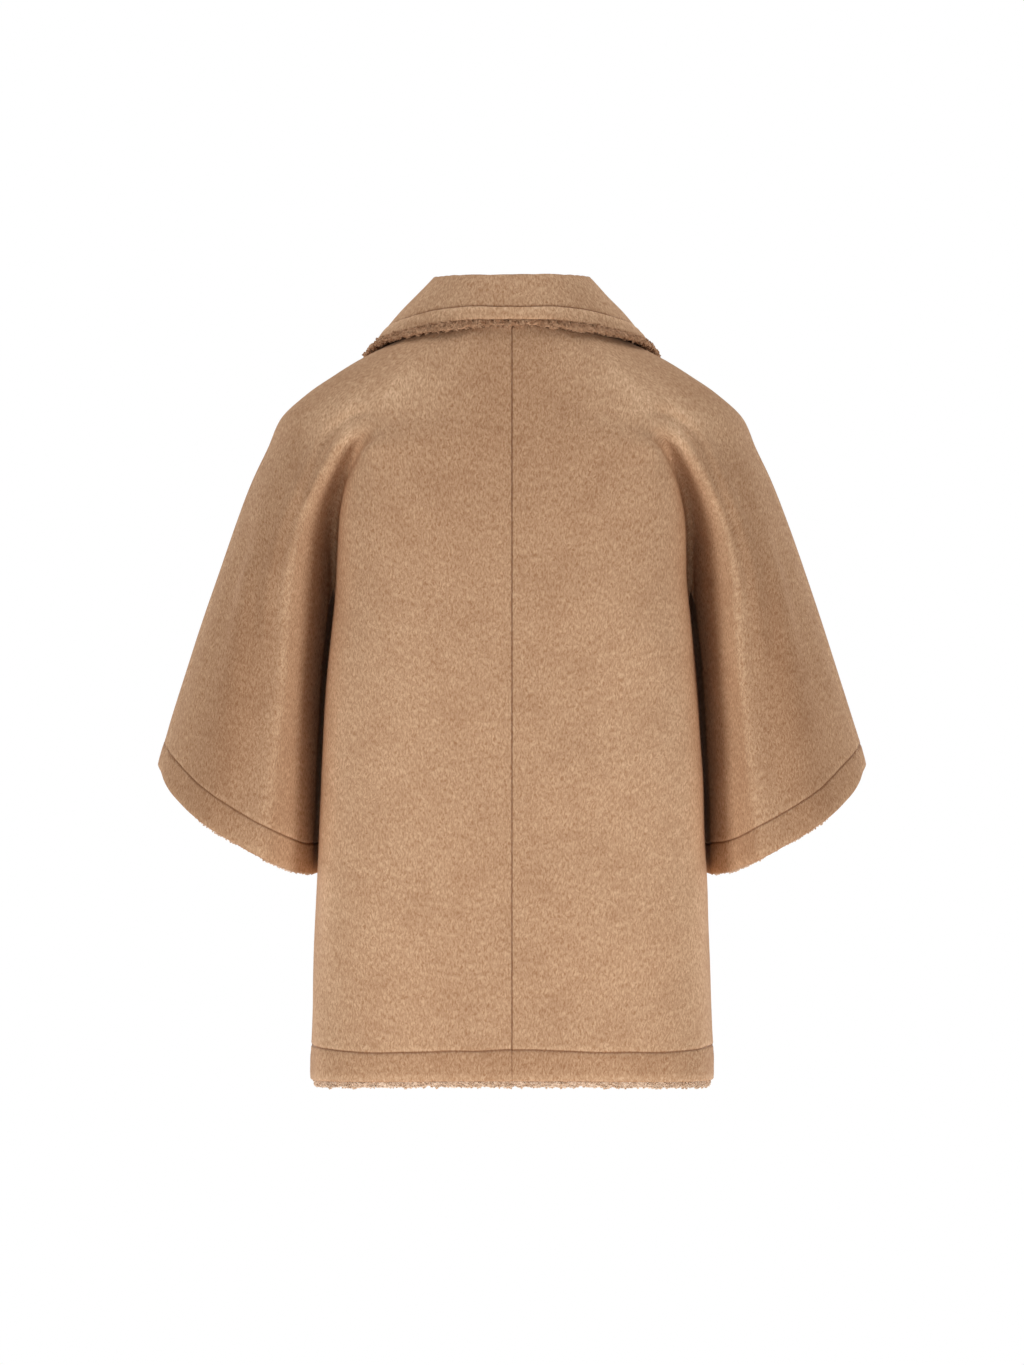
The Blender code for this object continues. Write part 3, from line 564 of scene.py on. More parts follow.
def rowHeights(mix, place, hem):
    m = mix[:, :, None] if place.ndim == 2 else mix
    return (m[:, 0] * neckline(place) + m[:, 1] * cape["underarm"]
            + m[:, 2] * hem(place) + m[:, 3])


def frontPlace(x, heightAt, count):
    # ring places this far from the middle of the upper front, found by halving
    low = np.full(count, cape["centerFront"] - 2.0)
    high = np.full(count, cape["centerFront"])
    for step in range(30):
        middle = (low + high) / 2
        outside = plainPoint(middle, heightAt(middle), False)[:, 0] > x
        low = np.where(outside, middle, low)
        high = np.where(outside, high, middle)
    return high


def lapPlace(mix):
    # ring place of the front's edge, for each row
    edge = frontPlace(cape["lap"], lambda place: rowHeights(mix, place, bodyHem), len(mix))
    return 2 * cape["centerFront"] - edge


def columnsOf(mix, start, stop, hem, count):
    # points of one part, with columns evenly along each row and close together at its edges
    t = np.linspace(0, 1, panelCut["samples"])
    place = start[:, None] + (stop - start)[:, None] * t[None, :]
    fine = surfacePoint(place, rowHeights(mix, place, hem))
    arc = arcAlong(fine, 1)
    steps = np.array(panelCut["edgeSteps"])
    places = []
    for r in range(len(mix)):
        total = arc[r, -1]
        near = steps * min(1.0, total / 60)
        inside = np.linspace(near[-1], total - near[-1], count)[1:-1]
        target = np.concatenate([near, inside, total - near[::-1]])
        places.append(np.interp(target, arc[r], place[r]))
    places = np.array(places)
    return places, surfacePoint(places, rowHeights(mix, places, hem))


def gridNormals(points):
    down = np.gradient(points, axis=0)
    along = np.gradient(points, axis=1)
    return unit(np.cross(down, along))


def arcAlong(points, axis):
    step = np.linalg.norm(np.diff(points, axis=axis), axis=-1)
    pad = [(0, 0), (0, 0)]
    pad[axis] = (1, 0)
    return np.cumsum(np.pad(step, pad), axis=axis)


# the hem stitching dips beside the middle and climbs toward the side seam
hemStitchPlaces = (0, 0.5, 1.06, 1.4, 1.75, 2.1, 2.8, 3.5, 7)
hemStitchRises = (0, -0.9, -2, -1.2, 1, 3, 3.8, 4, 4)
hemStitchAt = smoothCurve(hemStitchPlaces, hemStitchRises)

# painted light and shade on the wool: places and heights of soft patches, plus is painted light, minus
# painted shade
paintedLightColumns = ("place", "height", "placeHalf", "heightHalf", "lift")
paintedLightRows = (
    (3.3, -64, 1.2, 38, 0.34),  # painted highlight on the shoulder blades
    # painted highlight over the top of the sleeve's fold
    (5.1, -92, 0.8, 24, 0.30),
    # painted shade on the upper back below the collar
    (0.0, -75, 1.9, 80, -0.12),
    (0.9, -190, 1.7, 60, -0.05),
    (1.15, -430, 0.45, 260, 0.08),  # painted light on the sides of the back
    (1.8, -430, 0.28, 300, 0.24),
    (4.9, -215, 0.2, 170, 0.26),  # painted highlight on the crest of the sleeve fold
    # painted shade in the trough beside the crest and over the sleeve back, painted light deep in the fold
    # toward the cuff
    (5.2, -190, 0.25, 60, -0.10),
    (5.65, -330, 0.6, 170, -0.24),
    (4.1, -450, 0.55, 180, 0.42),
)


def paintedLightAt(place, height):
    # how much painted light falls here, minus is painted shade
    place = np.where(place > cape["outermost"], cape["centerFront"] - place, place)
    total = 0 * place
    for row in paintedLightRows:
        c = dict(zip(paintedLightColumns, row))
        far = ((np.abs(place) - c["place"]) / c["placeHalf"]) ** 2
        far = far + ((height - c["height"]) / c["heightHalf"]) ** 2
        total = total + c["lift"] * np.exp(-far)
    return total


def panelParts(front):
    # the body and the sleeve part of a panel, as grids that share a column above the underarm
    cut = panelCut
    side, over = (cape["sideFront"] if front else cape["sideBack"]), cape["overarm"]
    upper = upperMix()
    parts = []
    for isBody, hem in ((True, bodyHem), (False, cuffAt)):
        length, count = ("bodyLength", "bodyColumns") if isBody else ("sleeveLength", "sleeveColumns")
        mix = np.concatenate([upper, lowerMix(cut[length])])
        if isBody:
            start, stop = (side, lapPlace(mix)) if front else (0, side)
        else:
            start, stop = (over, side) if front else (side, over)
        full = np.ones(len(mix))
        places, points = columnsOf(mix, start * full, stop * full, hem, cut[count])
        heights = rowHeights(mix, places, hem)
        if isBody:
            ahead = places > cape["outermost"]
            rise = hemStitchAt(np.where(ahead, cape["centerFront"] - places, places))
        else:
            points[len(upper):] = surfacePoint(places, heights, True)[len(upper):]
            away = np.abs(places - cut["overarmPlace"])
            rise = -cut["overarmDrop"] * ease(1 - away / cut["overarmHalf"])
        # lift holds the painted light and shade
        parts.append({"isBody": isBody, "points": points, "normals": gridNormals(points),
                      "lift": paintedLightAt(places, heights), "rise": rise})
    body, sleeve = parts
    above = slice(0, len(upper))
    bodySeam, sleeveSeam = ((above, 0), (above, -1)) if front else ((above, -1), (above, 0))
    shared = unit(body["normals"][bodySeam] + sleeve["normals"][sleeveSeam])
    body["normals"][bodySeam] = shared
    sleeve["normals"][sleeveSeam] = shared
    sleeve["points"][sleeveSeam] = body["points"][bodySeam]
    return parts, len(upper), bodySeam, sleeveSeam


def edgeDistances(points, startIsSide, upperCount):
    # how far each point lies from the part's edges, along the cloth
    across, down = arcAlong(points, 1), arcAlong(points, 0)
    fromStart, fromEnd = across, across[:, -1:] - across
    hem = down[-1:] - down
    side, free = (fromStart, fromEnd) if startIsSide else (fromEnd, fromStart)
    below = np.arange(len(points))[:, None] >= upperCount
    return {"across": across, "down": down, "hem": hem, "free": free,
            "side": np.where(below, side, 1e3), "any": np.minimum(np.minimum(fromStart, fromEnd), hem)}


def aboveBand(fromHem):
    # 0 in the turned band, 1 above its stitching
    return ease((fromHem - panelCut["hemStitch"] + 6) / 12)


def panelRelief(isBody, dist, seed, front):
    # how far the outer face stands off: rolled edges, unevenness, stitching and its puckers
    cut = panelCut
    across, down, hem = dist["across"], dist["down"], dist["hem"]
    seam = rolled(dist["free"], cut["seamRoll"])
    if isBody and not front:
        seam = seam * (0.5 + 0.5 * aboveBand(hem))
    offset = -seam - rolled(dist["side"], cut["seamRoll"])
    offset -= rolled(hem, cut["hemRoll"])
    shade = wave(across, down, seed + (0 if isBody else 7), cut["unevenSize"])
    offset += cut["uneven"] * shade * ease(dist["any"] / cut["calm"])
    # a dip along the stitches, a slightly puffed band below it and small puckers across it
    offset -= cut["stitchDip"] * bell(dist["stitch"], cut["stitchHalf"])
    bandEase = cut["bandEase"]
    offset += cut["bandPuff"] * ease(hem / bandEase) * ease((cut["hemStitch"] - hem) / bandEase)
    pucker = wave(across, 0 * across, seed + 5, cut["puckerLength"])
    offset += cut["pucker"] * pucker * bell(hem - cut["hemStitch"], cut["puckerHalf"])
    if front and isBody:
        lap = (dist["free"] - cut["lapStitch"]) / cut["stitchHalf"]
        offset -= cut["stitchDip"] * bell(lap, 1) * ease((hem - cut["hemStitch"]) / 3)
        along = wave(down, 0 * down, seed + 6, cut["puckerLength"])
        offset += cut["pucker"] * along * bell(lap, 3)
    return offset


# pressed nap with painted shade along stitches, seams and the hem's edge, painted highlights beside them
# and painted shade on the turned band
def panelPaintedShading(part, dist, front):
    # pressed flat and dark along stitches and seams, brushed pale beside them
    cut = panelCut
    hem, free, stitch = dist["hem"], dist["free"], dist["stitch"]
    pressedShading = bell(stitch, cut["pressHalf"])
    pressedShading += cut["paintedHemEdgeShade"] * bell(hem, 0.8)
    (edge, edgeHalf), (ledge, ledgeHalf) = cut["edgeBand"], cut["ledgeBand"]
    # lift is painted light, minus is painted shade
    lift = part["lift"] + cut["paintedEdgeHighlight"] * bell(hem - edge, edgeHalf)
    lift += cut["paintedLedgeHighlight"] * bell(stitch - ledge, ledgeHalf)
    band = ease((hem - 3) / 5) * ease(-stitch / 3)
    lift += (cut["paintedBandShading"] if part["isBody"] else cut["paintedCuffShade"]) * band
    if not part["isBody"]:
        seam, seamHalf = cut["seamBand"]
        lift += cut["paintedSeamHighlight"] * bell(free - seam, seamHalf)
    elif front:
        pressedShading += bell(free - cut["lapStitch"], cut["pressHalf"])
    else:
        pressedShading += cut["seamPressedShade"] * (0.3 + 0.7 * aboveBand(hem)) * bell(free, 0.7)
    return lift, np.clip(pressedShading, 0, 1)


def panelStitches(part, points, dist, offset, wobble, front):
    # lines for the thread: above the hem, and beside the edge of a front
    cut = panelCut
    hem, free, normals = dist["hem"], dist["free"], part["normals"]
    row = len(points) - len(cut["hemSteps"]) + cut["hemSteps"].index(cut["hemStitch"])
    raised = points + normals * (offset + 0.1)[..., None]
    level = cut["hemStitch"] + wobble[row]
    line = [[np.interp(level[c], hem[::-1, c], raised[::-1, c, k]) for k in range(3)]
            for c in range(len(level))]
    paths = [(np.array(line), normals[row])]
    if front and part["isBody"]:
        out = points + normals * offset[..., None]
        r = np.arange(cut["lapStart"], row + 1)
        c = np.argmin(np.abs(free - cut["lapStitch"]), axis=1)[r]
        past = free[r, c] - cut["lapStitch"]
        step = unit(out[r, np.minimum(c + 1, out.shape[1] - 1)] - out[r, c - 1])
        paths.append((out[r, c] + step * past[:, None] + normals[r, c] * 0.1, normals[r, c]))
    return paths


def buildPanel(name, front, under, mirrored, seed, wool, fleece):
    cut = panelCut
    parts, upperCount, bodySeam, sleeveSeam = panelParts(front)
    outer, inner, uvs, paintedLights, pressedShadings, grids, paths = [], [], [], [], [], [], []
    first = 0
    for part in parts:
        normals = part["normals"]
        points = sink(part["points"], normals, under)
        dist = edgeDistances(points, part["isBody"] == front, upperCount)
        wander = wave(dist["across"], 0 * dist["across"], seed + 3, cut["wobbleLength"])
        wobble = cut["wobble"] * wander + part["rise"]
        dist["stitch"] = dist["hem"] - cut["hemStitch"] - wobble
        offset = panelRelief(part["isBody"], dist, seed, front)
        lift, pressedShading = panelPaintedShading(part, dist, front)
        paths += panelStitches(part, points, dist, offset, wobble, front)
        # the edges come together, so that they look turned
        turned = sum(rolled(dist[edge], radius) for edge, radius in cut["turnRolls"].items())
        back = np.clip(cape["wall"] - cut["turnIn"] * turned, cut["leastWall"], None)
        outer.append((points + normals * offset[..., None]).reshape(-1, 3))
        inner.append((points - normals * back[..., None]).reshape(-1, 3))
        grids.append(first + np.arange(offset.size).reshape(offset.shape))
        first += offset.size
        shift = seed * 11.3 + (0.0 if part["isBody"] else 400.0)
        uvs.append(np.stack([dist["across"] + shift, -dist["down"]], axis=-1).reshape(-1, 2))
        # painted light and shade, and pressed nap with painted shade
        paintedLights.append(lift.ravel())
        pressedShadings.append(pressedShading.ravel())
    # above the underarm the sleeve part uses the body part's points
    lookup = np.arange(first)
    lookup[grids[1][sleeveSeam]] = grids[0][bodySeam]
    faces = lookup[np.concatenate([gridQuads(ids) for ids in grids])]
    walls = np.array(edgeWall(faces, first))
    allPoints = np.concatenate(outer + inner)
    allFaces = np.concatenate([faces, faces[:, ::-1] + first, walls])
    which = np.concatenate([np.zeros(len(faces)), np.ones(len(faces)), np.zeros(len(walls))])
    used = np.zeros(len(allPoints), bool)
    used[allFaces.ravel()] = True
    number = np.cumsum(used) - 1
    nap = {"paintedLightShade": np.concatenate(paintedLights * 2)[used], "pressAndPaintedShade": np.concatenate(pressedShadings * 2)[used]}
    piece = makeMesh(name, allPoints[used], number[allFaces], (wool, fleece), which,
                     np.concatenate(uvs * 2)[used], nap, mirrored)
    if mirrored:
        paths = [(line * otherSide, ways * otherSide) for line, ways in paths]
    return piece, paths


# the collar: a stand, a fold and a leaf with a rounded edge
collarCut = {
    "foldHalf": 71.5, "foldBack": -75.0, "foldFront": 54.0,
    "foldPower": 2.3,
    "foldAngles": (0, 60, 90, 120, 150, 180),
    "foldHeights": (44, 45.5, 46.5, 38, 16, -4),
    "leafAngles": (0, 20, 43, 65, 90, 110, 130, 150, 170),
    "leafHeights": (-0.4, -1.7, -6.2, -12.3, -17, -25, -45, -73, -98),
    "lastPlace": 13.92,
    "foldEnd": 175.0, "leafEnd": 166.0,
    "bulge": 0.5, "bulgeFront": 4.0, "pointPower": 6,
    "ankle": 2.0, "standLean": 3.2, "standDrop": 6.0,
    "foldRound": 3.8,
    "leafLift": 8.1,  # from the panels to the middle of the leaf's edge
    "half": 1.4,  # half the thickness
    "stations": 230,
    "steps": (2, 5, 6, 6, 12, 22),
    "stitch": 11.2,
    "dip": 0.9, "stitchHalf": 1.2,
    "puff": 2.9,
    "puffSkew": 0.42,
    "puffLess": 0.7,  # flatter at the shoulders
    "stitchAside": 4.3,
    # painted highlight on the puffed band below the stitching
    "paintedBandShading": 0.22,
    "pressHalf": 0.8,
    "roll": 1.9,
    "leafShare": 0.55,  # of the whole line from the edge up
    "leafEase": 6.0,
    "asideReach": (110, 70),
    "wobble": 0.4, "wobbleLength": 55,
    "pucker": 0.22, "puckerLength": 14, "puckerHalf": 7,
    "uneven": 0.5, "unevenSize": 90,
    "calm": 20.0,
    "seed": 41,
    # distances of the last rows from the leaf's edge, close together there
    "leafSteps": (
        16.8, 16.0, 15.4, 14.8, 14.2, 13.6, 13.1, 12.6, 12.0, 11.4, 10.8, 10.0, 9.2, 8.2, 6.5, 5.0, 3.6,
        2.6, 1.8, 1.2, 0.7, 0.3, 0.0,
    ),
    "plainRows": 34,
    "plainEnd": 18.5,
    "fleeceRow": 22,  # the underside is fleece past this row
    "endRows": (20, 38),  # rows stitched down each front end
}
foldLineAt = smoothCurve(collarCut["foldAngles"], collarCut["foldHeights"])
leafAt = smoothCurve(collarCut["leafAngles"], collarCut["leafHeights"])


def panelPoint(angle, height, under):
    # where the collar meets the panels, and which way the cloth faces there
    place = np.atleast_1d(np.interp(angle, angles, anglePlaces))
    level = np.atleast_1d(np.asarray(height, float))
    point = surfacePoint(place, level)
    normal = facing(surfacePoint, place, level)
    return sink(point, normal, under)[0], normal[0]


def spline(points, steps):
    # a smooth line through the points, with so many steps between each two
    padded = [2 * points[0] - points[1]] + list(points) + [2 * points[-1] - points[-2]]
    line = []
    for k, count in enumerate(steps):
        a, b, c, d = padded[k : k + 4]
        before, here, after = (np.linalg.norm(q - p) for p, q in ((a, b), (b, c), (c, d)))
        start = ((b - a) / before * here + (c - b) / here * before) / (before + here)
        stop = ((c - b) / here * after + (d - c) / after * here) / (here + after)
        for i in range(count):
            t = i / count
            s = 1 - t
            line.append(b * (1 + 2 * t) * s * s + c * t * t * (3 - 2 * t)
                        + (start * s - stop * t) * here * t * s)
    line.append(points[-1])
    return line


def aside(points, reach, ahead):
    # 0 at the middle of the back and toward the front, 1 over the shoulders
    return ease(np.abs(points[..., 0]) / reach) * ease((ahead - points[..., 1]) / ahead)


def collarSection(place, under):
    # one line from the foot of the stand, over the fold, down to the leaf's edge
    cut = collarCut
    up = np.array([0.0, 0.0, 1.0])
    seamAngle = float(np.interp(place, anglePlaces, angles))
    share = seamAngle / float(np.interp(cut["lastPlace"], anglePlaces, angles))
    seamHeight = float(neckline(np.float64(place)))
    seam, seamWay = panelPoint(seamAngle, seamHeight, under)
    below, _ = panelPoint(seamAngle, seamHeight - 3, under)
    rise = unit(seam - below)
    foot = seam - seamWay * 1.5 + rise * 0.5
    turn = cut["foldEnd"] * share
    across, ahead = quarter(1 - abs(turn / 90 - 1), cut["foldPower"])
    depth = cut["foldBack"] if turn <= 90 else cut["foldFront"]
    fold = np.array([cut["foldHalf"] * across, depth * ahead, float(foldLineAt(turn))])
    steep = cut["foldPower"] - 1
    out = unit(np.array([across**steep / cut["foldHalf"], ahead**steep / depth, 0.0]))
    leafAngle = share * 180 - (180 - cut["leafEnd"]) * share ** cut["pointPower"]
    edge, edgeWay = panelPoint(leafAngle, float(leafAt(leafAngle)), False)
    edge = edge + edgeWay * cut["leafLift"]
    standTop = fold - out * cut["standLean"] - up * cut["standDrop"]
    leafTop = fold + out * cut["foldRound"] - up * cut["foldRound"]
    way = edge - leafTop
    proud = unit(out - way * np.dot(out, way) / np.dot(way, way))
    middle = (leafTop + edge) / 2 + proud * (cut["bulge"] + (cut["bulgeFront"] - cut["bulge"]) * share**2)
    ankle = foot + (rise + up) * cut["ankle"]
    line = spline([foot, ankle, standTop, fold, leafTop, middle, edge], cut["steps"])
    return line, -seamWay, edgeWay


def collarGrid():
    cut = collarCut
    last = float(np.interp(cut["lastPlace"], anglePlaces, angles))
    grid, feet, edges = [], [], []
    for angle in np.linspace(-last, last, cut["stations"]):
        place = float(np.interp(abs(angle), angles, anglePlaces))
        line, foot, edge = collarSection(place, angle < 0)
        turn = otherSide if angle < 0 else 1.0
        grid.append([p * turn for p in line])
        feet.append(foot * turn)
        edges.append(edge * turn)
    grid = np.array(grid)
    arc = arcAlong(grid, 1)
    refined = []
    for s in range(len(grid)):
        total = arc[s, -1]
        plain = np.linspace(0, total - cut["plainEnd"], cut["plainRows"])
        target = np.concatenate([plain, total - np.array(cut["leafSteps"])])
        refined.append(np.stack([np.interp(target, arc[s], grid[s, :, k]) for k in range(3)], axis=-1))
    grid = np.array(refined)
    normals = unit(np.cross(np.gradient(grid, axis=1), np.gradient(grid, axis=0)))
    normals[:, 0] = feet
    return grid, normals, np.array(edges)


def buildCollar(wool, fleece):
    cut = collarCut
    grid, normals, edgeWays = collarGrid()
    across = arcAlong(grid, 0)
    along = arcAlong(grid, 1)
    fromEdge = along[:, -1:] - along
    fromEnds = np.minimum(across, across[-1:] - across)
    onLeaf = ease((along[:, -1:] * cut["leafShare"] - fromEdge) / cut["leafEase"])
    free = np.minimum(fromEdge, np.where(onLeaf > 0, fromEnds, 1e3))
    offset = -rolled(free, cut["roll"])
    wobble = cut["wobble"] * wave(across, 0 * across, cut["seed"], cut["wobbleLength"])
    shoulder = aside(grid[:, -1:], *cut["asideReach"])
    stitch = cut["stitch"] + cut["stitchAside"] * shoulder + 0 * across
    off = fromEdge - stitch - wobble
    pastEnds = ease((fromEnds - cut["stitch"]) / 2 + 0.5)
    offset -= cut["dip"] * bell(off, cut["stitchHalf"]) * pastEnds
    endOff = fromEnds - cut["stitch"]
    alongEnds = onLeaf * ease((fromEdge - stitch) / 2 + 0.5)
    offset -= cut["dip"] * bell(endOff, cut["stitchHalf"]) * alongEnds
    # below the stitching the edge stands up quickly and then rolls under
    share = np.clip((stitch - fromEdge) / stitch, 0, 1)
    puffed = np.sin(math.pi * share ** cut["puffSkew"])
    offset += cut["puff"] * puffed * ease(fromEnds / 12) * (1 - cut["puffLess"] * shoulder)
    # pressed nap with painted shade along the stitching, painted highlight on the puffed band below it and
    # painted light over the whole leaf
    pressedShading = bell(off, cut["pressHalf"]) * pastEnds + bell(endOff, cut["pressHalf"]) * alongEnds
    lift = cut["paintedBandShading"] * puffed * ease((0.7 - share) / 0.5) + 0.08 * onLeaf
    pucker = wave(across, 0 * across, cut["seed"] + 2, cut["puckerLength"])
    offset += cut["pucker"] * pucker * bell(fromEdge - cut["stitch"], cut["puckerHalf"])
    uneven = cut["uneven"] * wave(across, along, cut["seed"] + 6, cut["unevenSize"])
    offset += uneven * ease(fromEdge / cut["calm"]) * ease(fromEnds / cut["calm"])
    out = grid + normals * (cut["half"] + offset)[..., None]
    inn = grid - normals * (cut["half"] - 0.5 * rolled(free, cut["roll"]))[..., None]
    stations, rows = grid.shape[:2]
    ids = np.arange(stations * rows).reshape(stations, rows)
    # stations run from the left front end to the right one behind the neck
    faces = gridQuads(ids)
    count = ids.size
    points = np.concatenate([out.reshape(-1, 3), inn.reshape(-1, 3)])
    walls = np.array(edgeWall(faces, count))
    allFaces = np.concatenate([faces, faces[:, ::-1] + count, walls])
    rowOf = np.tile(np.arange(rows - 1), stations - 1)
    underside = np.where(rowOf > cut["fleeceRow"], 1, 0)
    which = np.concatenate([np.zeros(len(faces)), underside, np.zeros(len(walls))])
    # one width for the whole of each station, so that the nap isn't drawn aslant
    width = across.mean(axis=1, keepdims=True) + 0 * across
    uv = np.stack([width + 900.0, along], axis=-1).reshape(-1, 2)
    nap = {"paintedLightShade": np.tile(lift.ravel(), 2), "pressAndPaintedShade": np.tile(np.clip(pressedShading, 0, 1).ravel(), 2)}
    piece = makeMesh("collarCloth", points, allFaces, (wool, fleece), which, np.concatenate([uv, uv]), nap)
    # the thread lies where the cloth is pressed
    raised = grid + normals * (cut["half"] + offset + 0.1)[..., None]
    line, ways = [], []
    for s in np.nonzero(fromEnds[:, -20] > cut["stitch"])[0]:
        level = stitch[s, 0] + wobble[s, 0]
        line.append(np.array([np.interp(level, fromEdge[s, ::-1], raised[s, ::-1, k]) for k in range(3)]))
        ways.append(normals[s, np.argmin(np.abs(off[s]))])
    paths = [(np.array(line), np.array(ways))]
    for end in (0, 1):
        side = across if end == 0 else across[-1:] - across
        s = np.argmin(np.abs(side - cut["stitch"]), axis=0)
        r = np.arange(*cut["endRows"])
        paths.append((raised[s[r], r], normals[s[r], r]))
    return piece, paths, grid, edgeWays


# fleece that shows at the edges
fleeceCut = {
    "gap": 0.8,
    "hem": {"thick": 4.4, "top": 30.0, "lump": 0.9, "ragged": 1.2},
    "cuff": {"thick": 4.4, "top": 26.0, "lump": 0.9, "ragged": 1.2},
    "collar": {"thick": 4.6, "top": 12.0, "lump": 3.0, "ragged": 3.0},
    "hemDrop": 5.4,  # how far it hangs below the cloth
    "hemEnd": 13.72,  # ring place where the hem's strip ends under the lap
    "cuffEnds": (3.5001, 10.4999),
    "cuffDrop": -0.5,
    "cuffFuzz": 2.0,  # more of it at two stretches of the cuff
    "fuzzPlaces": ((5.1, 6.05), (7.9, 8.7)),
    "collarDrop": 4.0,
    "collarSide": 6.5,
    "collarOut": 2.4,
    "asideReach": (90, 60),
    "pointStep": 1.6,
    "sides": 20,
    "lumpSize": 8.0,
    "curlReach": 5.0,
    "curlSpacing": 2.15,
    "curlRadius": 0.95,
    "curlHeight": 0.9,
    "yarn": 0.46,
    "seed": 11,
}


def lumpy(u, v, seed, size):
    # coarse lumps with finer ones on them
    return wave(u, v, seed, size) * 0.6 + wave(u, v, seed + 1, size * 0.45) * 0.4


def bandShell(name, ring, ways, down, drop, band, closed, seed, finish):
    # a padded strip: ring is its upper line of points, down its direction to the edge
    size = fleeceCut[band]
    count = len(ring)
    length = np.concatenate([[0], np.cumsum(np.linalg.norm(np.diff(ring, axis=0), axis=-1))])
    drop = np.broadcast_to(np.asarray(drop, float), (count,))
    points, masks, uvs = [], [], []
    for turn in np.linspace(0, 2 * math.pi, fleeceCut["sides"] + 1)[:-1]:
        # a flat loop round the strip's section
        along = (1 - math.cos(turn)) / 2
        side = math.sin(turn)
        reach = along * (size["top"] + drop) - size["top"]
        swell = abs(side) ** 0.55 * (1 if side >= 0 else -1)
        lump = lumpy(length, reach * 2 + swell * 9, seed, fleeceCut["lumpSize"])
        edge = ease((along - 0.45) / 0.4)
        rag = size["ragged"] * lumpy(length, 0 * length, seed + 9, 9.0) * edge
        rag = rag * np.clip(drop / 3, 0.25, 1)
        half = size["thick"] / 2 * swell + size["lump"] * lump * (0.35 + 0.65 * edge) * side
        middle = -(fleeceCut["gap"] + size["thick"] / 2)
        points.append(ring + ways * (middle + half)[:, None] + down * (reach + rag)[:, None])
        masks.append(np.where(reach > -fleeceCut["curlReach"], 1.0, 0.0))
        uvs.append(np.stack([length, np.full(count, turn * 3.0)], axis=-1))
    points = np.array(points)
    ids = np.arange(points.shape[0] * count).reshape(points.shape[0], count)
    ids = np.concatenate([ids, ids[:1]])
    if closed:
        ids = np.concatenate([ids, ids[:, :1]], axis=1)
    piece = makeMesh(name, points.reshape(-1, 3), gridQuads(ids), (finish,), None,
                     np.concatenate(uvs), {"curlMask": np.concatenate(masks)})
    return closedUp(piece)


def hemRing(places, heights, sleeve):
    place = np.array(places, float)
    points = surfacePoint(np.abs(place), heights, sleeve)
    normals = facing(surfacePoint, np.abs(place), heights, sleeve)
    flip = np.where(place < 0, -1.0, 1.0)
    for grid in (points, normals):
        grid[:, 0] *= flip
    return points, normals


def evenRing(stretches, hem, sleeve, closed):
    # evenly spaced points along a hem, which may be in stretches with a jump between them
    place = np.concatenate([np.linspace(start, stop, 1200) for start, stop in stretches])
    points, normals = hemRing(place, hem(np.abs(place)), sleeve)
    arc = np.concatenate([[0], np.cumsum(np.linalg.norm(np.diff(points, axis=0), axis=-1))])
    count = int(arc[-1] / fleeceCut["pointStep"])
    target = np.linspace(0, arc[-1], count, endpoint=not closed)
    at = np.interp(target, arc, place)
    above, _ = hemRing(place, hem(np.abs(place)) + 4, sleeve)
    grids = []
    for grid in (points, normals, points - above):
        grids.append(np.stack([np.interp(target, arc, grid[:, k]) for k in range(3)], axis=-1))
    points, normals, down = grids
    for step in range(10):
        if closed:
            padded = np.concatenate([normals[-1:], normals, normals[:1]])
        else:
            padded = np.concatenate([normals[:1], normals, normals[-1:]])
        normals = unit(padded[:-2] + 2 * padded[1:-1] + padded[2:])
    return points, normals, unit(down), at


def socket(tree, name, direction, kind, default=None):
    made = tree.interface.new_socket(name=name, in_out=direction, socket_type=kind)
    if default is not None:
        made.default_value = default
    return made


def setInput(modifier, tree, name, value):
    for item in tree.interface.items_tree:
        if item.item_type == "SOCKET" and item.in_out == "INPUT" and item.name == name:
            modifier[item.identifier] = value


def feed(node, inputs):
    # links each input to a socket, or gives it its value
    for key, value in inputs.items():
        if isinstance(value, bpy.types.NodeSocket):
            node.id_data.links.new(value, node.inputs[key])
        else:
            node.inputs[key].default_value = value
    return node


def mathNode(tree, operation, a, b):
    node = tree.nodes.new("ShaderNodeMath")
    node.operation = operation
    return feed(node, {0: a, 1: b}).outputs[0]


def sizedTree(name, sizes):
    # a geometry tree with named inputs for its sizes and its finish
    tree = bpy.data.node_groups.new(name, "GeometryNodeTree")
    socket(tree, "Geometry", "INPUT", "NodeSocketGeometry")
    for label, value in sizes:
        kind = "NodeSocketInt" if isinstance(value, int) else "NodeSocketFloat"
        socket(tree, label, "INPUT", kind, value)
    socket(tree, "Finish", "INPUT", "NodeSocketMaterial")
    socket(tree, "Geometry", "OUTPUT", "NodeSocketGeometry")
    return tree, tree.nodes.new("NodeGroupInput").outputs


def endTree(tree, geometry, finish):
    real = feed(tree.nodes.new("GeometryNodeRealizeInstances"), {"Geometry": geometry})
    painted = feed(tree.nodes.new("GeometryNodeSetMaterial"),
                   {"Geometry": real.outputs["Geometry"], "Material": finish})
    feed(tree.nodes.new("NodeGroupOutput"), {"Geometry": painted.outputs["Geometry"]})
    return tree


def roundYarn(tree, line, radius, sides):
    ring = feed(tree.nodes.new("GeometryNodeCurvePrimitiveCircle"), {"Resolution": sides, "Radius": radius})
    yarn = feed(tree.nodes.new("GeometryNodeCurveToMesh"),
                {"Curve": line, "Profile Curve": ring.outputs["Curve"], "Fill Caps": True})
    return yarn.outputs["Mesh"]


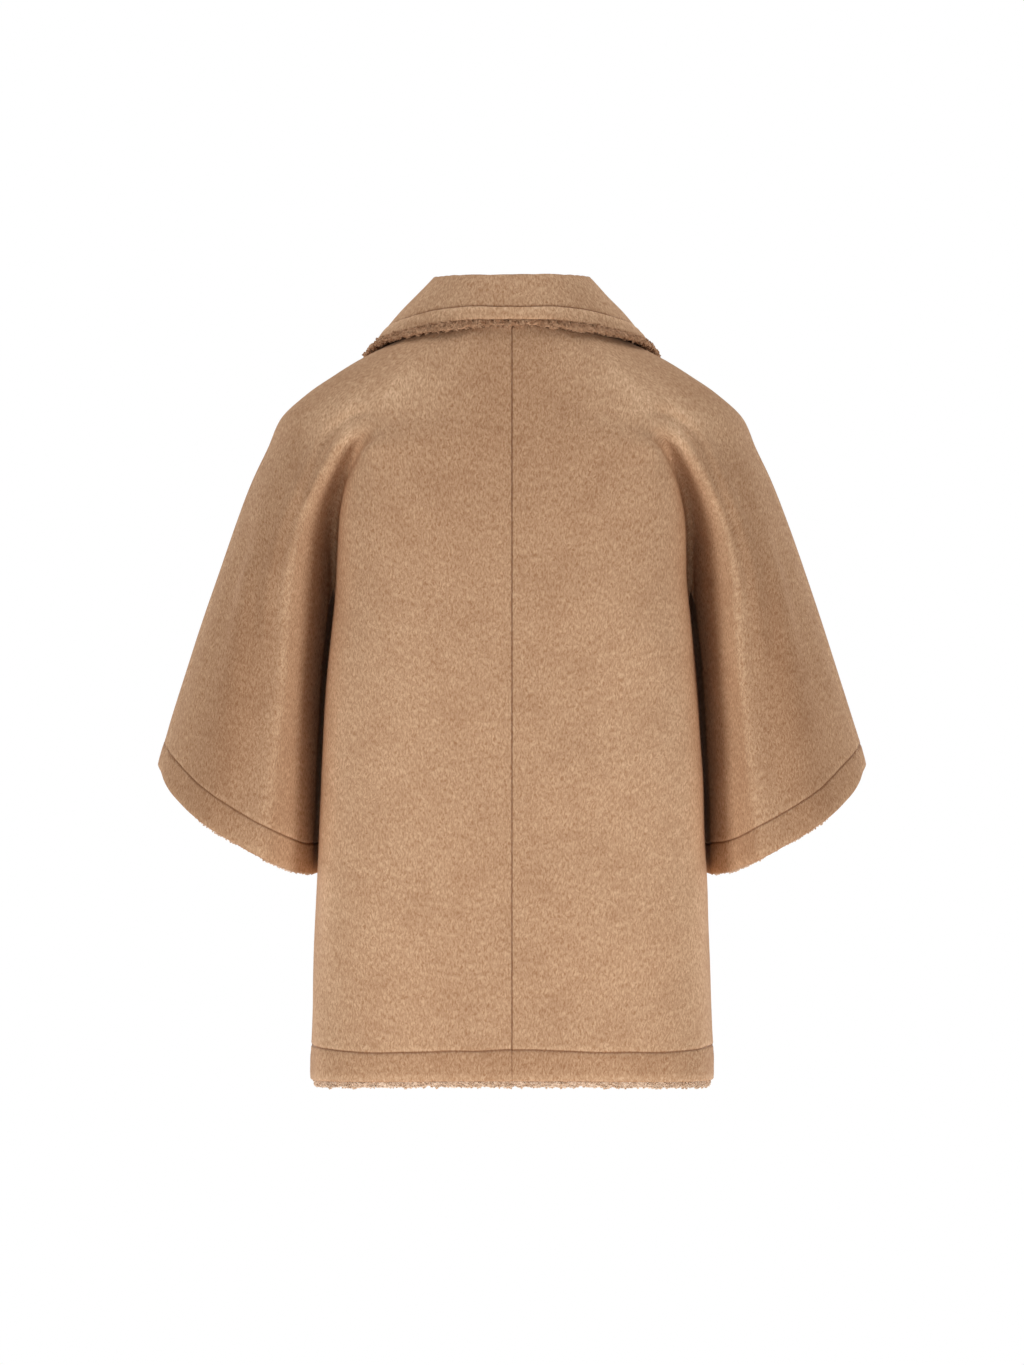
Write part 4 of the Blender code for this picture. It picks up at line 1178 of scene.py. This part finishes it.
def curlTree():
    # small curled yarns over a fleece, thickest where its mask is 1
    tree, given = sizedTree("fleeceCurls", (("Spacing", 0.0018), ("Curl Radius", 0.0009),
                                            ("Curl Height", 0.0017), ("Yarn Radius", 0.0003), ("Seed", 1)))
    new = tree.nodes.new
    mask = new("GeometryNodeInputNamedAttribute")
    mask.data_type = "FLOAT"
    mask.inputs["Name"].default_value = "curlMask"
    scatter = new("GeometryNodeDistributePointsOnFaces")
    scatter.distribute_method = "POISSON"
    feed(scatter, {"Mesh": given["Geometry"], "Distance Min": given["Spacing"], "Density Max": 900000.0,
                   "Density Factor": mask.outputs["Attribute"], "Seed": given["Seed"]})
    curl = feed(new("GeometryNodeCurveSpiral"), {
        "Resolution": 6, "Rotations": 1.05, "Start Radius": given["Curl Radius"],
        "End Radius": mathNode(tree, "MULTIPLY", given["Curl Radius"], 0.45),
        "Height": given["Curl Height"]})
    turn = new("FunctionNodeRandomValue")
    turn.data_type = "FLOAT_VECTOR"
    feed(turn, {0: (-0.8, -0.8, -3.14), 1: (0.8, 0.8, 3.14), "Seed": given["Seed"]})
    euler = feed(new("FunctionNodeEulerToRotation"), {0: turn.outputs["Value"]})
    rotate = new("FunctionNodeRotateRotation")
    rotate.rotation_space = "LOCAL"
    feed(rotate, {"Rotation": scatter.outputs["Rotation"], "Rotate By": euler.outputs[0]})
    grow = new("FunctionNodeRandomValue")
    grow.data_type = "FLOAT"
    feed(grow, {2: 0.7, 3: 1.35})
    place = feed(new("GeometryNodeInstanceOnPoints"), {
        "Points": scatter.outputs["Points"], "Rotation": rotate.outputs[0], "Scale": grow.outputs[1],
        "Instance": roundYarn(tree, curl.outputs["Curve"], given["Yarn Radius"], 4)})
    tone = new("FunctionNodeRandomValue")
    tone.data_type = "FLOAT"
    keep = new("GeometryNodeStoreNamedAttribute")
    keep.data_type, keep.domain = "FLOAT", "INSTANCE"
    feed(keep, {"Name": "yarnTone", "Geometry": place.outputs["Instances"], "Value": tone.outputs[1]})
    both = new("GeometryNodeJoinGeometry")
    feed(both, {"Geometry": given["Geometry"]})
    feed(both, {"Geometry": keep.outputs["Geometry"]})
    return endTree(tree, both.outputs["Geometry"], given["Finish"])


def stitchTree():
    # one bent length of thread at each step of a line
    tree, given = sizedTree("stitchRow", (("Pitch", 0.0036), ("Length", 0.003), ("Thread Radius", 0.0003),
                                          ("Rise", 0.0004), ("Sink", 0.0006)))
    new = tree.nodes.new
    line = feed(new("GeometryNodeMeshToCurve"), {"Mesh": given["Geometry"]})
    steps = new("GeometryNodeResampleCurve")
    steps.mode = "LENGTH"
    feed(steps, {"Curve": line.outputs["Curve"], "Length": given["Pitch"]})
    deep = mathNode(tree, "MULTIPLY", given["Sink"], -1.0)
    ends = []
    for side in (-0.5, 0.5):
        reach = mathNode(tree, "MULTIPLY", given["Length"], side)
        ends.append(feed(new("ShaderNodeCombineXYZ"), {"X": reach, "Z": deep}))
    top = feed(new("ShaderNodeCombineXYZ"), {"Z": given["Rise"]})
    bow = feed(new("GeometryNodeCurveQuadraticBezier"), {
        "Resolution": 4, "Start": ends[0].outputs[0], "Middle": top.outputs[0], "End": ends[1].outputs[0]})
    thread = roundYarn(tree, bow.outputs["Curve"], given["Thread Radius"], 6)
    smooth = feed(new("GeometryNodeSetShadeSmooth"), {"Geometry": thread})
    normal = new("GeometryNodeInputNamedAttribute")
    normal.data_type = "FLOAT_VECTOR"
    normal.inputs["Name"].default_value = "clothNormal"
    first = new("FunctionNodeAlignRotationToVector")
    first.axis = "X"
    feed(first, {"Vector": new("GeometryNodeInputTangent").outputs["Tangent"]})
    second = new("FunctionNodeAlignRotationToVector")
    second.axis = "Z"
    second.pivot_axis = "X"
    feed(second, {"Rotation": first.outputs[0], "Vector": normal.outputs["Attribute"]})
    place = feed(new("GeometryNodeInstanceOnPoints"), {
        "Points": steps.outputs["Curve"], "Instance": smooth.outputs["Geometry"],
        "Rotation": second.outputs[0]})
    return endTree(tree, place.outputs["Instances"], given["Finish"])


def grown(piece, tree, values):
    # runs a node tree over a piece and keeps the result as a plain mesh
    modifier = piece.modifiers.new(tree.name, "NODES")
    modifier.node_group = tree
    for name, value in values.items():
        setInput(modifier, tree, name, value)
    bpy.context.view_layer.update()
    graph = bpy.context.evaluated_depsgraph_get()
    done = bpy.data.meshes.new_from_object(
        piece.evaluated_get(graph), preserve_all_data_layers=True, depsgraph=graph)
    piece.modifiers.clear()
    old = piece.data
    piece.data = done
    done.name = piece.name
    bpy.data.meshes.remove(old)
    return piece


def addCurls(piece, tree, fleece, seed):
    cut = fleeceCut
    return grown(piece, tree, {
        "Spacing": cut["curlSpacing"] * mm, "Curl Radius": cut["curlRadius"] * mm,
        "Curl Height": cut["curlHeight"] * mm, "Yarn Radius": cut["yarn"] * mm,
        "Seed": seed, "Finish": fleece,
    })


def buildFleece(fleece, shaded, tree, leafGrid, edgeWays):
    cut = fleeceCut
    pieces = []
    # inside the body hem, from lap edge to lap edge round the back
    end, back, front = cut["hemEnd"], cape["sideBack"], cape["sideFront"]
    stretches = ((-end, -front), (-back, back), (front, end))
    ring, ways, down, at = evenRing(stretches, bodyHem, False, False)
    lapped = ease((cape["lap"] + cape["lapEase"] + ring[:, 0]) / cape["lapEase"])
    lapped = np.where((at < 0) & (ring[:, 1] > 0), lapped, 0.0)
    ring = ring - ways * (cape["wall"] + lapped * (cape["wall"] + cape["lapClear"]))[:, None]
    piece = bandShell("hemFleece", ring, ways, down, cut["hemDrop"], "hem", False, 21, fleece)
    pieces.append((addCurls(piece, tree, fleece, cut["seed"]), "hem_fleece"))
    # inside the cuffs
    ring, ways, down, at = evenRing((cut["cuffEnds"],), cuffAt, True, True)
    ring = ring - ways * cape["wall"]
    fuzz = sum(within(at, start, stop, 0.3, 0.3) for start, stop in cut["fuzzPlaces"])
    drop = cut["cuffDrop"] + cut["cuffFuzz"] * fuzz
    for name, node, turn, seed in (("cuffFleeceRight", "cuff_fleece_right", 1.0, 31),
                                   ("cuffFleeceLeft", "cuff_fleece_left", otherSide, 35)):
        piece = bandShell(name, ring * turn, ways * turn, down * turn, drop, "cuff", True, seed, fleece)
        pieces.append((addCurls(piece, tree, fleece, cut["seed"] + seed), node))
    # under the leaf of the collar, deepest at its sides
    edge = leafGrid[:, -1]
    down = unit(edge - leafGrid[:, -8])
    down = unit(down - edgeWays * np.sum(down * edgeWays, axis=-1, keepdims=True))
    shoulder = aside(edge, *cut["asideReach"])
    ring = edge - edgeWays * (collarCut["half"] - cut["collarOut"] * shoulder)[:, None]
    drop = cut["collarDrop"] + cut["collarSide"] * shoulder
    piece = bandShell("collarFleece", ring, edgeWays, down, drop, "collar", False, 51, shaded)
    pieces.append((addCurls(piece, tree, shaded, cut["seed"] + 5), "collar_fleece"))
    return pieces


# topstitching
stitching = {
    "pitch": 3.7,
    "length": 3.3,
    "thread": 0.30,
    "rise": 0.5,
    "sink": 0.45,
}


def stitchLines(paths):
    # every line of topstitching as one wire mesh, with the cloth's direction at each point
    points, edges, ways = [], [], []
    for line, normals in paths:
        first = len(points)
        points += [tuple(p * mm) for p in line]
        ways += [tuple(n) for n in normals]
        edges += [(first + k, first + k + 1) for k in range(len(line) - 1)]
    mesh = bpy.data.meshes.new("topStitching")
    mesh.from_pydata(points, edges, [])
    made = mesh.attributes.new("clothNormal", "FLOAT_VECTOR", "POINT")
    made.data.foreach_set("vector", np.array(ways, np.float32).ravel())
    piece = bpy.data.objects.new("topStitching", mesh)
    bpy.context.scene.collection.objects.link(piece)
    return piece


def buildStitching(paths, thread):
    piece = stitchLines(paths)
    return grown(piece, stitchTree(), {
        "Pitch": stitching["pitch"] * mm, "Length": stitching["length"] * mm,
        "Thread Radius": stitching["thread"] * mm, "Rise": stitching["rise"] * mm,
        "Sink": stitching["sink"] * mm, "Finish": thread,
    })


# buttons and buttonholes
buttonCut = {
    "radius": 14.0,
    # shares of the radius and of the thickness, from the middle underneath to the dish
    "profile": ((0.0, 0.0), (0.80, 0.0), (0.93, 0.10), (1.0, 0.36), (1.0, 0.62), (0.97, 0.84),
                (0.90, 0.98), (0.84, 1.0), (0.78, 0.95), (0.72, 0.82), (0.66, 0.70)),
    "thick": 4.2,
    "heights": (-76, -214, -352, -490),
    "clear": 0.3,
    "holeRadius": 1.25,
    "holeOut": 2.9,
    "holeDeep": 2.4,
    "dish": 1.5,
    "rings": 30,
    "sides": 72,
    "slit": 30.0,
    "barPitch": 0.75,
    "barLength": 2.6,
    "barRadius": 0.30,
    "slitStart": -3.0,
    "holeRim": 0.3,
    "holeEase": 0.55,
    # thread through the holes, two strands to each pair
    "strandShifts": (-0.35, 0.35),
    "strandOver": 0.9,
    "strandRadius": 0.34,
    "strandHigh": 0.70,
    "strandSunk": 0.05,
}


def onFront(across, height):
    # a point of the upper front and its direction, this far from the middle
    place = frontPlace(abs(across), lambda place: height, 1)
    if across < 0:
        place = 2 * cape["centerFront"] - place
    level = np.array([float(height)])
    return surfacePoint(place, level)[0], facing(surfacePoint, place, level)[0]


def buildButton(name, height, horn):
    cut = buttonCut
    point, normal = onFront(0.0, height)
    side = np.array([1.0, 0.0, 0.0])
    up = np.cross(normal, side)
    base = point + normal * cut["clear"]
    radii = [share * cut["radius"] for share, _ in cut["profile"]]
    highs = [share * cut["thick"] for _, share in cut["profile"]]
    rimCount, dishRadius = len(radii), radii[-1]
    dishRadii = np.linspace(dishRadius, 0.05, cut["rings"])[1:]
    radii += list(dishRadii)
    highs += [highs[-1]] * len(dishRadii)
    turns = np.arange(cut["sides"]) * 2 * math.pi / cut["sides"]
    points = []
    holes = [(cut["holeOut"] * a, cut["holeOut"] * b) for a in (-1, 1) for b in (-1, 1)]
    for k, (radius, high) in enumerate(zip(radii, highs)):
        x, z = radius * np.cos(turns), radius * np.sin(turns)
        rise = np.full(len(turns), high)
        if k >= rimCount:
            rise = rise - cut["dish"] * 0.25 * (1 - (radius / dishRadius) ** 2)
            for hx, hz in holes:
                near = np.hypot(x - hx, z - hz)
                inside = cut["holeRadius"] + cut["holeRim"] - near
                rise = rise - cut["holeDeep"] * ease(inside / cut["holeEase"])
        points.append(base + np.outer(x, side) + np.outer(z, up) + np.outer(rise, normal))
    ids = np.arange(len(radii) * cut["sides"]).reshape(len(radii), cut["sides"])
    ids = np.concatenate([ids, ids[:, :1]], axis=1)
    piece = makeMesh(name, np.concatenate(points), gridQuads(ids), (horn,))
    closedUp(piece, 0.02 * mm)
    bars = []
    high = cut["thick"] * cut["strandHigh"] - cut["strandSunk"]
    for hz in (-1, 1):
        for shift in cut["strandShifts"]:
            middle = base + up * (cut["holeOut"] * hz + shift) + normal * high
            bars.append((middle, side, normal, cut["holeOut"] * 2 + cut["strandOver"], cut["strandRadius"]))
    return piece, bars


def buttonholeBars(height):
    # short stitches round a slit that starts under the button
    cut = buttonCut
    bars = []
    count = int(cut["slit"] / cut["barPitch"])
    for k in range(count + 1):
        across = cut["slitStart"] + cut["slit"] * k / count
        point, normal = onFront(across, height)
        up = unit(np.cross(normal, np.array([1.0, 0.0, 0.0])))
        for rim in (-1, 1):
            bars.append((point + up * rim * cut["barLength"] * 0.5 + normal * 0.12, up, normal,
                         cut["barLength"], cut["barRadius"]))
    return bars


def threadBars(name, bars, thread):
    # short bent threads, one for each row of the list
    sides, steps = 6, 5
    points, faces = [], []
    for middle, way, normal, length, radius in bars:
        cross = np.cross(way, normal)
        first = len(points)
        for k in range(steps + 1):
            t = k / steps
            bow = 0.35 - 1.1 * (2 * t - 1) ** 4
            center = middle + way * (t - 0.5) * length + normal * bow
            for s in range(sides):
                turn = 2 * math.pi * s / sides
                points.append(center + (cross * math.cos(turn) + normal * math.sin(turn)) * radius)
        for k in range(steps):
            for s in range(sides):
                a, b = first + k * sides + s, first + k * sides + (s + 1) % sides
                faces.append((a, b, b + sides, a + sides))
    return closedUp(makeMesh(name, points, faces, (thread,)))


# finishes
woolLook = {
    "base": (0.518, 0.289, 0.152, 1.0),
    "pale": (0.700, 0.470, 0.300, 1.0),
    "deep": (0.310, 0.145, 0.068, 1.0),
    # pressed: the pressed nap's colour with painted shade in the grooves of stitches and seams
    "pressed": (0.170, 0.060, 0.022, 1.0),
    "pressedShadeShare": 0.72,
    # tint of the painted light and shade
    "paintedLightTint": (0.75, 1.0, 1.2),
    "clouding": 0.30,
    "sheen": 0.06,
    "bump": 0.55,
    "bumpDepth": 0.0007,
}
fleeceLook = {
    "base": (0.600, 0.400, 0.262, 1.0),
    "pale": (0.790, 0.600, 0.450, 1.0),
    "deep": (0.380, 0.205, 0.110, 1.0),
    "roughness": 0.92,
    "sheen": 0.5,
    "bump": 0.8,
    "bumpDepth": 0.0012,
    "curls": 330.0,  # scale of each noise, to a metre
    "lumps": 170.0,
    "fine": 900.0,
    "paintedHollowShade": 0.45,  # painted shade: the deep colour between the curls
    "yarnShare": 0.5,  # the pale colour of the palest yarns
    "fineRise": 0.35,
    "curlFall": 0.8,
}
# a darker copy of the fleece, painted with the shade under the collar's leaf
shadedLook = dict(fleeceLook, base=(0.430, 0.235, 0.130, 1.0), pale=(0.600, 0.370, 0.225, 1.0),
                  deep=(0.260, 0.120, 0.058, 1.0), sheen=0.2)
hornLook = {"dark": (0.055, 0.022, 0.010, 1.0), "light": (0.28, 0.13, 0.05, 1.0)}
threadLook = {"dark": (0.200, 0.080, 0.032, 1.0), "light": (0.360, 0.175, 0.080, 1.0)}


def vectorMath(tree, operation, inputs):
    node = tree.nodes.new("ShaderNodeVectorMath")
    node.operation = operation
    return feed(node, inputs).outputs[0]


def spread(tree, value, low, high):
    # 0 below low, 1 above high
    node = tree.nodes.new("ShaderNodeMapRange")
    node.interpolation_type = "SMOOTHSTEP"
    return feed(node, {"Value": value, "From Min": low, "From Max": high}).outputs["Result"]


def noiseNode(tree, vector, scale, detail, distortion=0.0):
    return feed(tree.nodes.new("ShaderNodeTexNoise"), {
        "Vector": vector, "Scale": scale, "Detail": detail, "Distortion": distortion})


def noise(tree, vector, scale, detail, distortion=0.0):
    return noiseNode(tree, vector, scale, detail, distortion).outputs["Fac"]


def blended(tree, a, b, shareOfA):
    return mathNode(tree, "ADD", mathNode(tree, "MULTIPLY", a, shareOfA),
                    mathNode(tree, "MULTIPLY", b, round(1 - shareOfA, 2)))


def mixColor(tree, factor, a, b):
    node = tree.nodes.new("ShaderNodeMix")
    node.data_type = "RGBA"
    return feed(node, {"Factor": factor, 6: a, 7: b}).outputs[2]


def stretched(tree, vector, x, y):
    node = feed(tree.nodes.new("ShaderNodeMapping"), {"Vector": vector, "Scale": (x, y, 1.0)})
    return node.outputs["Vector"]


def attributeValue(tree, name):
    node = tree.nodes.new("ShaderNodeAttribute")
    node.attribute_name = name
    return node.outputs["Fac"]


def bumped(tree, height, strength, distance):
    node = tree.nodes.new("ShaderNodeBump")
    return feed(node, {"Height": height, "Strength": strength, "Distance": distance}).outputs["Normal"]


napCut = {
    # scale of each noise, to a metre, across and along the nap where there are two
    "bend": 150.0,
    "streaks": (640, 230),
    "hairs": (1500, 430),
    "paleHairs": (1050, 300),
    "clouds": 26.0,
    "patches": 110.0,
    "bendReach": (0.006, 0.004, 0.0),  # how far the streaks wander, in metres
    "plainShare": 0.30,
    "paleHairShare": 0.45,
    # the noise is deep or pale outside these limits
    "bodySpread": (0.32, 0.68),
    "hairSpread": (0.60, 0.74),
    "cloudSpread": (0.42, 0.70),
}


def napGroup():
    # brushed fibres: streaks that wander, pale and dark hairs, and soft clouding
    tree = bpy.data.node_groups.new("brushedNap", "ShaderNodeTree")
    socket(tree, "Vector", "INPUT", "NodeSocketVector")
    socket(tree, "Fibre Width", "INPUT", "NodeSocketFloat", 1.0)
    for name in ("Base", "Pale", "Deep"):
        socket(tree, name, "INPUT", "NodeSocketColor", (0.5, 0.5, 0.5, 1.0))
    socket(tree, "Clouding", "INPUT", "NodeSocketFloat", 0.5)
    socket(tree, "Color", "OUTPUT", "NodeSocketColor")
    socket(tree, "Height", "OUTPUT", "NodeSocketFloat")
    socket(tree, "Roughness", "OUTPUT", "NodeSocketFloat")
    given = tree.nodes.new("NodeGroupInput").outputs
    base = vectorMath(tree, "SCALE", {0: given["Vector"], "Scale": given["Fibre Width"]})
    bend = noiseNode(tree, base, napCut["bend"], 2.0).outputs["Color"]
    flow = vectorMath(tree, "MULTIPLY_ADD", {0: bend, 1: napCut["bendReach"], 2: base})
    streaks = noise(tree, stretched(tree, flow, *napCut["streaks"]), 1.0, 3.0, 0.3)
    hairs = noise(tree, stretched(tree, flow, *napCut["hairs"]), 1.0, 2.0, 0.4)
    paleHairs = noise(tree, stretched(tree, flow, *napCut["paleHairs"]), 1.0, 1.0, 0.8)
    clouds = noise(tree, base, napCut["clouds"], 3.0)
    patches = noise(tree, base, napCut["patches"], 3.0)
    body = spread(tree, blended(tree, streaks, hairs, 0.6), *napCut["bodySpread"])
    color = mixColor(tree, body, given["Deep"], given["Pale"])
    color = mixColor(tree, napCut["plainShare"], color, given["Base"])
    paleHairs = spread(tree, paleHairs, *napCut["hairSpread"])
    lift = mathNode(tree, "MULTIPLY", paleHairs, napCut["paleHairShare"])
    color = mixColor(tree, lift, color, given["Pale"])
    cloudy = spread(tree, blended(tree, clouds, patches, 0.55), *napCut["cloudSpread"])
    color = mixColor(tree, mathNode(tree, "MULTIPLY", cloudy, given["Clouding"]), color, given["Deep"])
    rough = mathNode(tree, "ADD", 0.80, mathNode(tree, "MULTIPLY", patches, 0.2))
    feed(tree.nodes.new("NodeGroupOutput"), {
        "Color": color, "Height": blended(tree, streaks, hairs, 0.65), "Roughness": rough})
    return tree


def newMaterial(name):
    made = bpy.data.materials.new(name)
    made.use_nodes = True
    return made, made.node_tree, made.node_tree.nodes["Principled BSDF"]


def napMaterial(name, group, look):
    made, tree, shader = newMaterial(name)
    uv = tree.nodes.new("ShaderNodeUVMap")
    uv.uv_map = "cloth"
    nap = tree.nodes.new("ShaderNodeGroup")
    nap.node_tree = group
    feed(nap, {"Vector": uv.outputs["UV"], "Fibre Width": 1.0, "Clouding": look["clouding"],
               "Base": look["base"], "Pale": look["pale"], "Deep": look["deep"]})
    # painted light turns paler and greyer, painted shade deeper and warmer
    tint = vectorMath(tree, "MULTIPLY", {0: attributeValue(tree, "paintedLightShade"), 1: look["paintedLightTint"]})
    plain = nap.outputs["Color"]
    toned = vectorMath(tree, "MULTIPLY_ADD", {0: plain, 1: tint, 2: plain})
    # pressed nap with painted shade in the grooves of stitches and seams
    pressedShadeMix = mathNode(tree, "MULTIPLY", attributeValue(tree, "pressAndPaintedShade"), look["pressedShadeShare"])
    feed(shader, {
        "Base Color": mixColor(tree, pressedShadeMix, toned, look["pressed"]),
        "Roughness": nap.outputs["Roughness"],
        "Normal": bumped(tree, nap.outputs["Height"], look["bump"], look["bumpDepth"]),
        "Sheen Weight": look["sheen"], "Sheen Roughness": 0.45, "Sheen Tint": look["pale"],
        "Specular IOR Level": 0.2,
    })
    return made


def objectSpot(tree):
    return tree.nodes.new("ShaderNodeTexCoord").outputs["Object"]


def fleeceMaterial(name, look):
    made, tree, shader = newMaterial(name)
    spot = objectSpot(tree)
    curls = feed(tree.nodes.new("ShaderNodeTexVoronoi"), {"Vector": spot, "Scale": look["curls"]})
    far = curls.outputs["Distance"]
    lumps = noise(tree, spot, look["lumps"], 3.0, 0.6)
    fine = noise(tree, spot, look["fine"], 2.0, 0.5)
    color = mixColor(tree, spread(tree, lumps, 0.35, 0.65), look["base"], look["pale"])
    # painted shade in the hollows between the curls
    hollow = mathNode(tree, "MULTIPLY", spread(tree, far, 0.25, 0.75), look["paintedHollowShade"])
    color = mixColor(tree, hollow, color, look["deep"])
    tone = mathNode(tree, "MULTIPLY", attributeValue(tree, "yarnTone"), look["yarnShare"])
    height = mathNode(tree, "SUBTRACT", mathNode(tree, "MULTIPLY", fine, look["fineRise"]),
                      mathNode(tree, "MULTIPLY", far, look["curlFall"]))
    feed(shader, {
        "Base Color": mixColor(tree, tone, color, look["pale"]),
        "Normal": bumped(tree, height, look["bump"], look["bumpDepth"]),
        "Roughness": look["roughness"], "Sheen Weight": look["sheen"], "Sheen Roughness": 0.5,
        "Sheen Tint": look["pale"], "Specular IOR Level": 0.2,
    })
    return made


def hornMaterial():
    made, tree, shader = newMaterial("horn")
    streak = noise(tree, stretched(tree, objectSpot(tree), 60.0, 60.0), 2.2, 4.0, 1.6)
    feed(shader, {
        "Base Color": mixColor(tree, spread(tree, streak, 0.45, 0.75), hornLook["dark"], hornLook["light"]),
        "Roughness": mathNode(tree, "ADD", 0.22, mathNode(tree, "MULTIPLY", streak, 0.15)),
        "Coat Weight": 0.4, "Coat Roughness": 0.15,
    })
    return made


def threadMaterial():
    made, tree, shader = newMaterial("thread")
    twist = spread(tree, noise(tree, objectSpot(tree), 1400.0, 1.0), 0.35, 0.65)
    feed(shader, {"Base Color": mixColor(tree, twist, threadLook["dark"], threadLook["light"]),
                  "Roughness": 0.6})
    return made


wool = napMaterial("camelWool", napGroup(), woolLook)
fleece = fleeceMaterial("teddyFleece", fleeceLook)
shadedFleece = fleeceMaterial("collarFleece", shadedLook)
horn = hornMaterial()
thread = threadMaterial()
print("finishes made")

panels, allPaths = [], []
for name, node, front, under, mirrored, seed in (
    ("backRight", "back_right", False, False, False, 101),
    ("backLeft", "back_left", False, False, True, 201),
    ("frontRight", "front_right", True, False, False, 301),
    ("frontLeft", "front_left", True, True, True, 401),
):
    piece, paths = buildPanel(name, front, under, mirrored, seed, wool, fleece)
    panels.append((piece, node))
    allPaths += paths
    print(name, len(piece.data.polygons) * 2, "triangles")

collarPiece, collarPaths, collarPoints, collarEdge = buildCollar(wool, fleece)
allPaths += collarPaths
print("collar", len(collarPiece.data.polygons) * 2, "triangles")

fleecePieces = buildFleece(fleece, shadedFleece, curlTree(), collarPoints, collarEdge)
for piece, node in fleecePieces:
    print(piece.name, len(piece.data.polygons) * 2, "triangles")

stitches = buildStitching(allPaths, thread)
print("stitching", len(stitches.data.polygons), "faces")

buttons, bars = [], []
for number, height in enumerate(buttonCut["heights"], start=1):
    piece, holds = buildButton(f"button{number}", height, horn)
    buttons.append((piece, f"button_{number}"))
    bars += holds
    bars += buttonholeBars(height)
buttonThread = threadBars("buttonThread", bars, thread)
print("buttons made")

for piece, node in panels:
    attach(piece, "root")
    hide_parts(node)
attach(collarPiece, "root")
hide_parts("collar")
for piece, node in fleecePieces:
    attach(piece, "root")
    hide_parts(node)
for piece, node in buttons:
    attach(piece, "root")
    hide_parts(node)
for piece in (stitches, buttonThread):
    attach(piece, "root")

# the studio: soft lamps round the cape and a pale floor
studio = {
    "distance": 5.0,
    "height": -0.3288,
    "view": 1.2695,  # metres from the top to the bottom of the picture, at the cape's middle
    "floor": -1.40,
    "floorRadius": 2.9,
    "ambient": 0.10,
    "aim": (0.0, 0.0, -0.35),
    # place, size and power
    "lamps": {
        "backLeft": ((-3.1, -3.1, -0.75), (1.5, 2.0), 78),
        "frontLeft": ((-3.1, 3.1, -0.75), (1.5, 2.0), 78),
        "backRight": ((3.1, -3.1, -0.75), (1.5, 2.0), 78),
        "frontRight": ((3.1, 3.1, -0.75), (1.5, 2.0), 78),
        "top": ((0.0, 0.0, 2.2), (2.2, 1.8), 40),
        "below": ((0.0, 0.0, -1.38), (3.4, 3.4), 36),
    },
}


def softbox(name, place, target, size, power):
    # a soft lamp turned toward its target, unseen itself
    lamp = bpy.data.lights.new(name, "AREA")
    lamp.shape = "RECTANGLE"
    lamp.size, lamp.size_y = size
    lamp.energy = power
    box = bpy.data.objects.new(name, lamp)
    box.location = place
    box.visible_camera = False
    way = np.array(target) - np.array(place)
    yaw = math.atan2(-way[0], way[1])
    pitch = math.atan2(way[2], math.hypot(way[0], way[1]))
    box.rotation_euler = (math.pi / 2 + pitch, 0.0, yaw)
    bpy.context.scene.collection.objects.link(box)


def makeLight():
    scene = bpy.context.scene
    scene.view_settings.view_transform = "Standard"
    world = bpy.data.worlds.new("paleRoom")
    scene.world = world
    world.use_nodes = True
    tree = world.node_tree
    ray = tree.nodes.new("ShaderNodeLightPath")
    level = feed(tree.nodes.new("ShaderNodeMapRange"), {
        "Value": ray.outputs["Is Camera Ray"], "To Min": studio["ambient"], "To Max": 1.0})
    feed(tree.nodes["Background"], {"Color": (1.0, 1.0, 1.0, 1.0), "Strength": level.outputs["Result"]})
    for name, (place, size, power) in studio["lamps"].items():
        softbox(name, place, studio["aim"], size, power)


def makeFloor():
    scene = bpy.context.scene
    mesh = bpy.data.meshes.new("floor")
    shape = bmesh.new()
    bmesh.ops.create_circle(shape, cap_ends=True, segments=96, radius=studio["floorRadius"])
    shape.to_mesh(mesh)
    shape.free()
    floor = bpy.data.objects.new("floor", mesh)
    floor.location = (0.0, 0.0, studio["floor"])
    made, _, shader = newMaterial("paleFloor")
    feed(shader, {"Base Color": (0.92, 0.92, 0.91, 1.0), "Roughness": 0.9})
    mesh.materials.append(made)
    scene.collection.objects.link(floor)


def makeCamera():
    scene = bpy.context.scene
    camera = bpy.data.cameras.new("camera")
    camera.sensor_width = 36.0
    camera.lens = 36.0 * studio["distance"] / studio["view"]
    seat = bpy.data.objects.new("camera", camera)
    seat.location = (0.0, -studio["distance"], studio["height"])
    seat.rotation_euler = (math.pi / 2, 0.0, 0.0)
    scene.collection.objects.link(seat)
    scene.camera = seat


makeLight()
makeFloor()
makeCamera()
print("studio made")
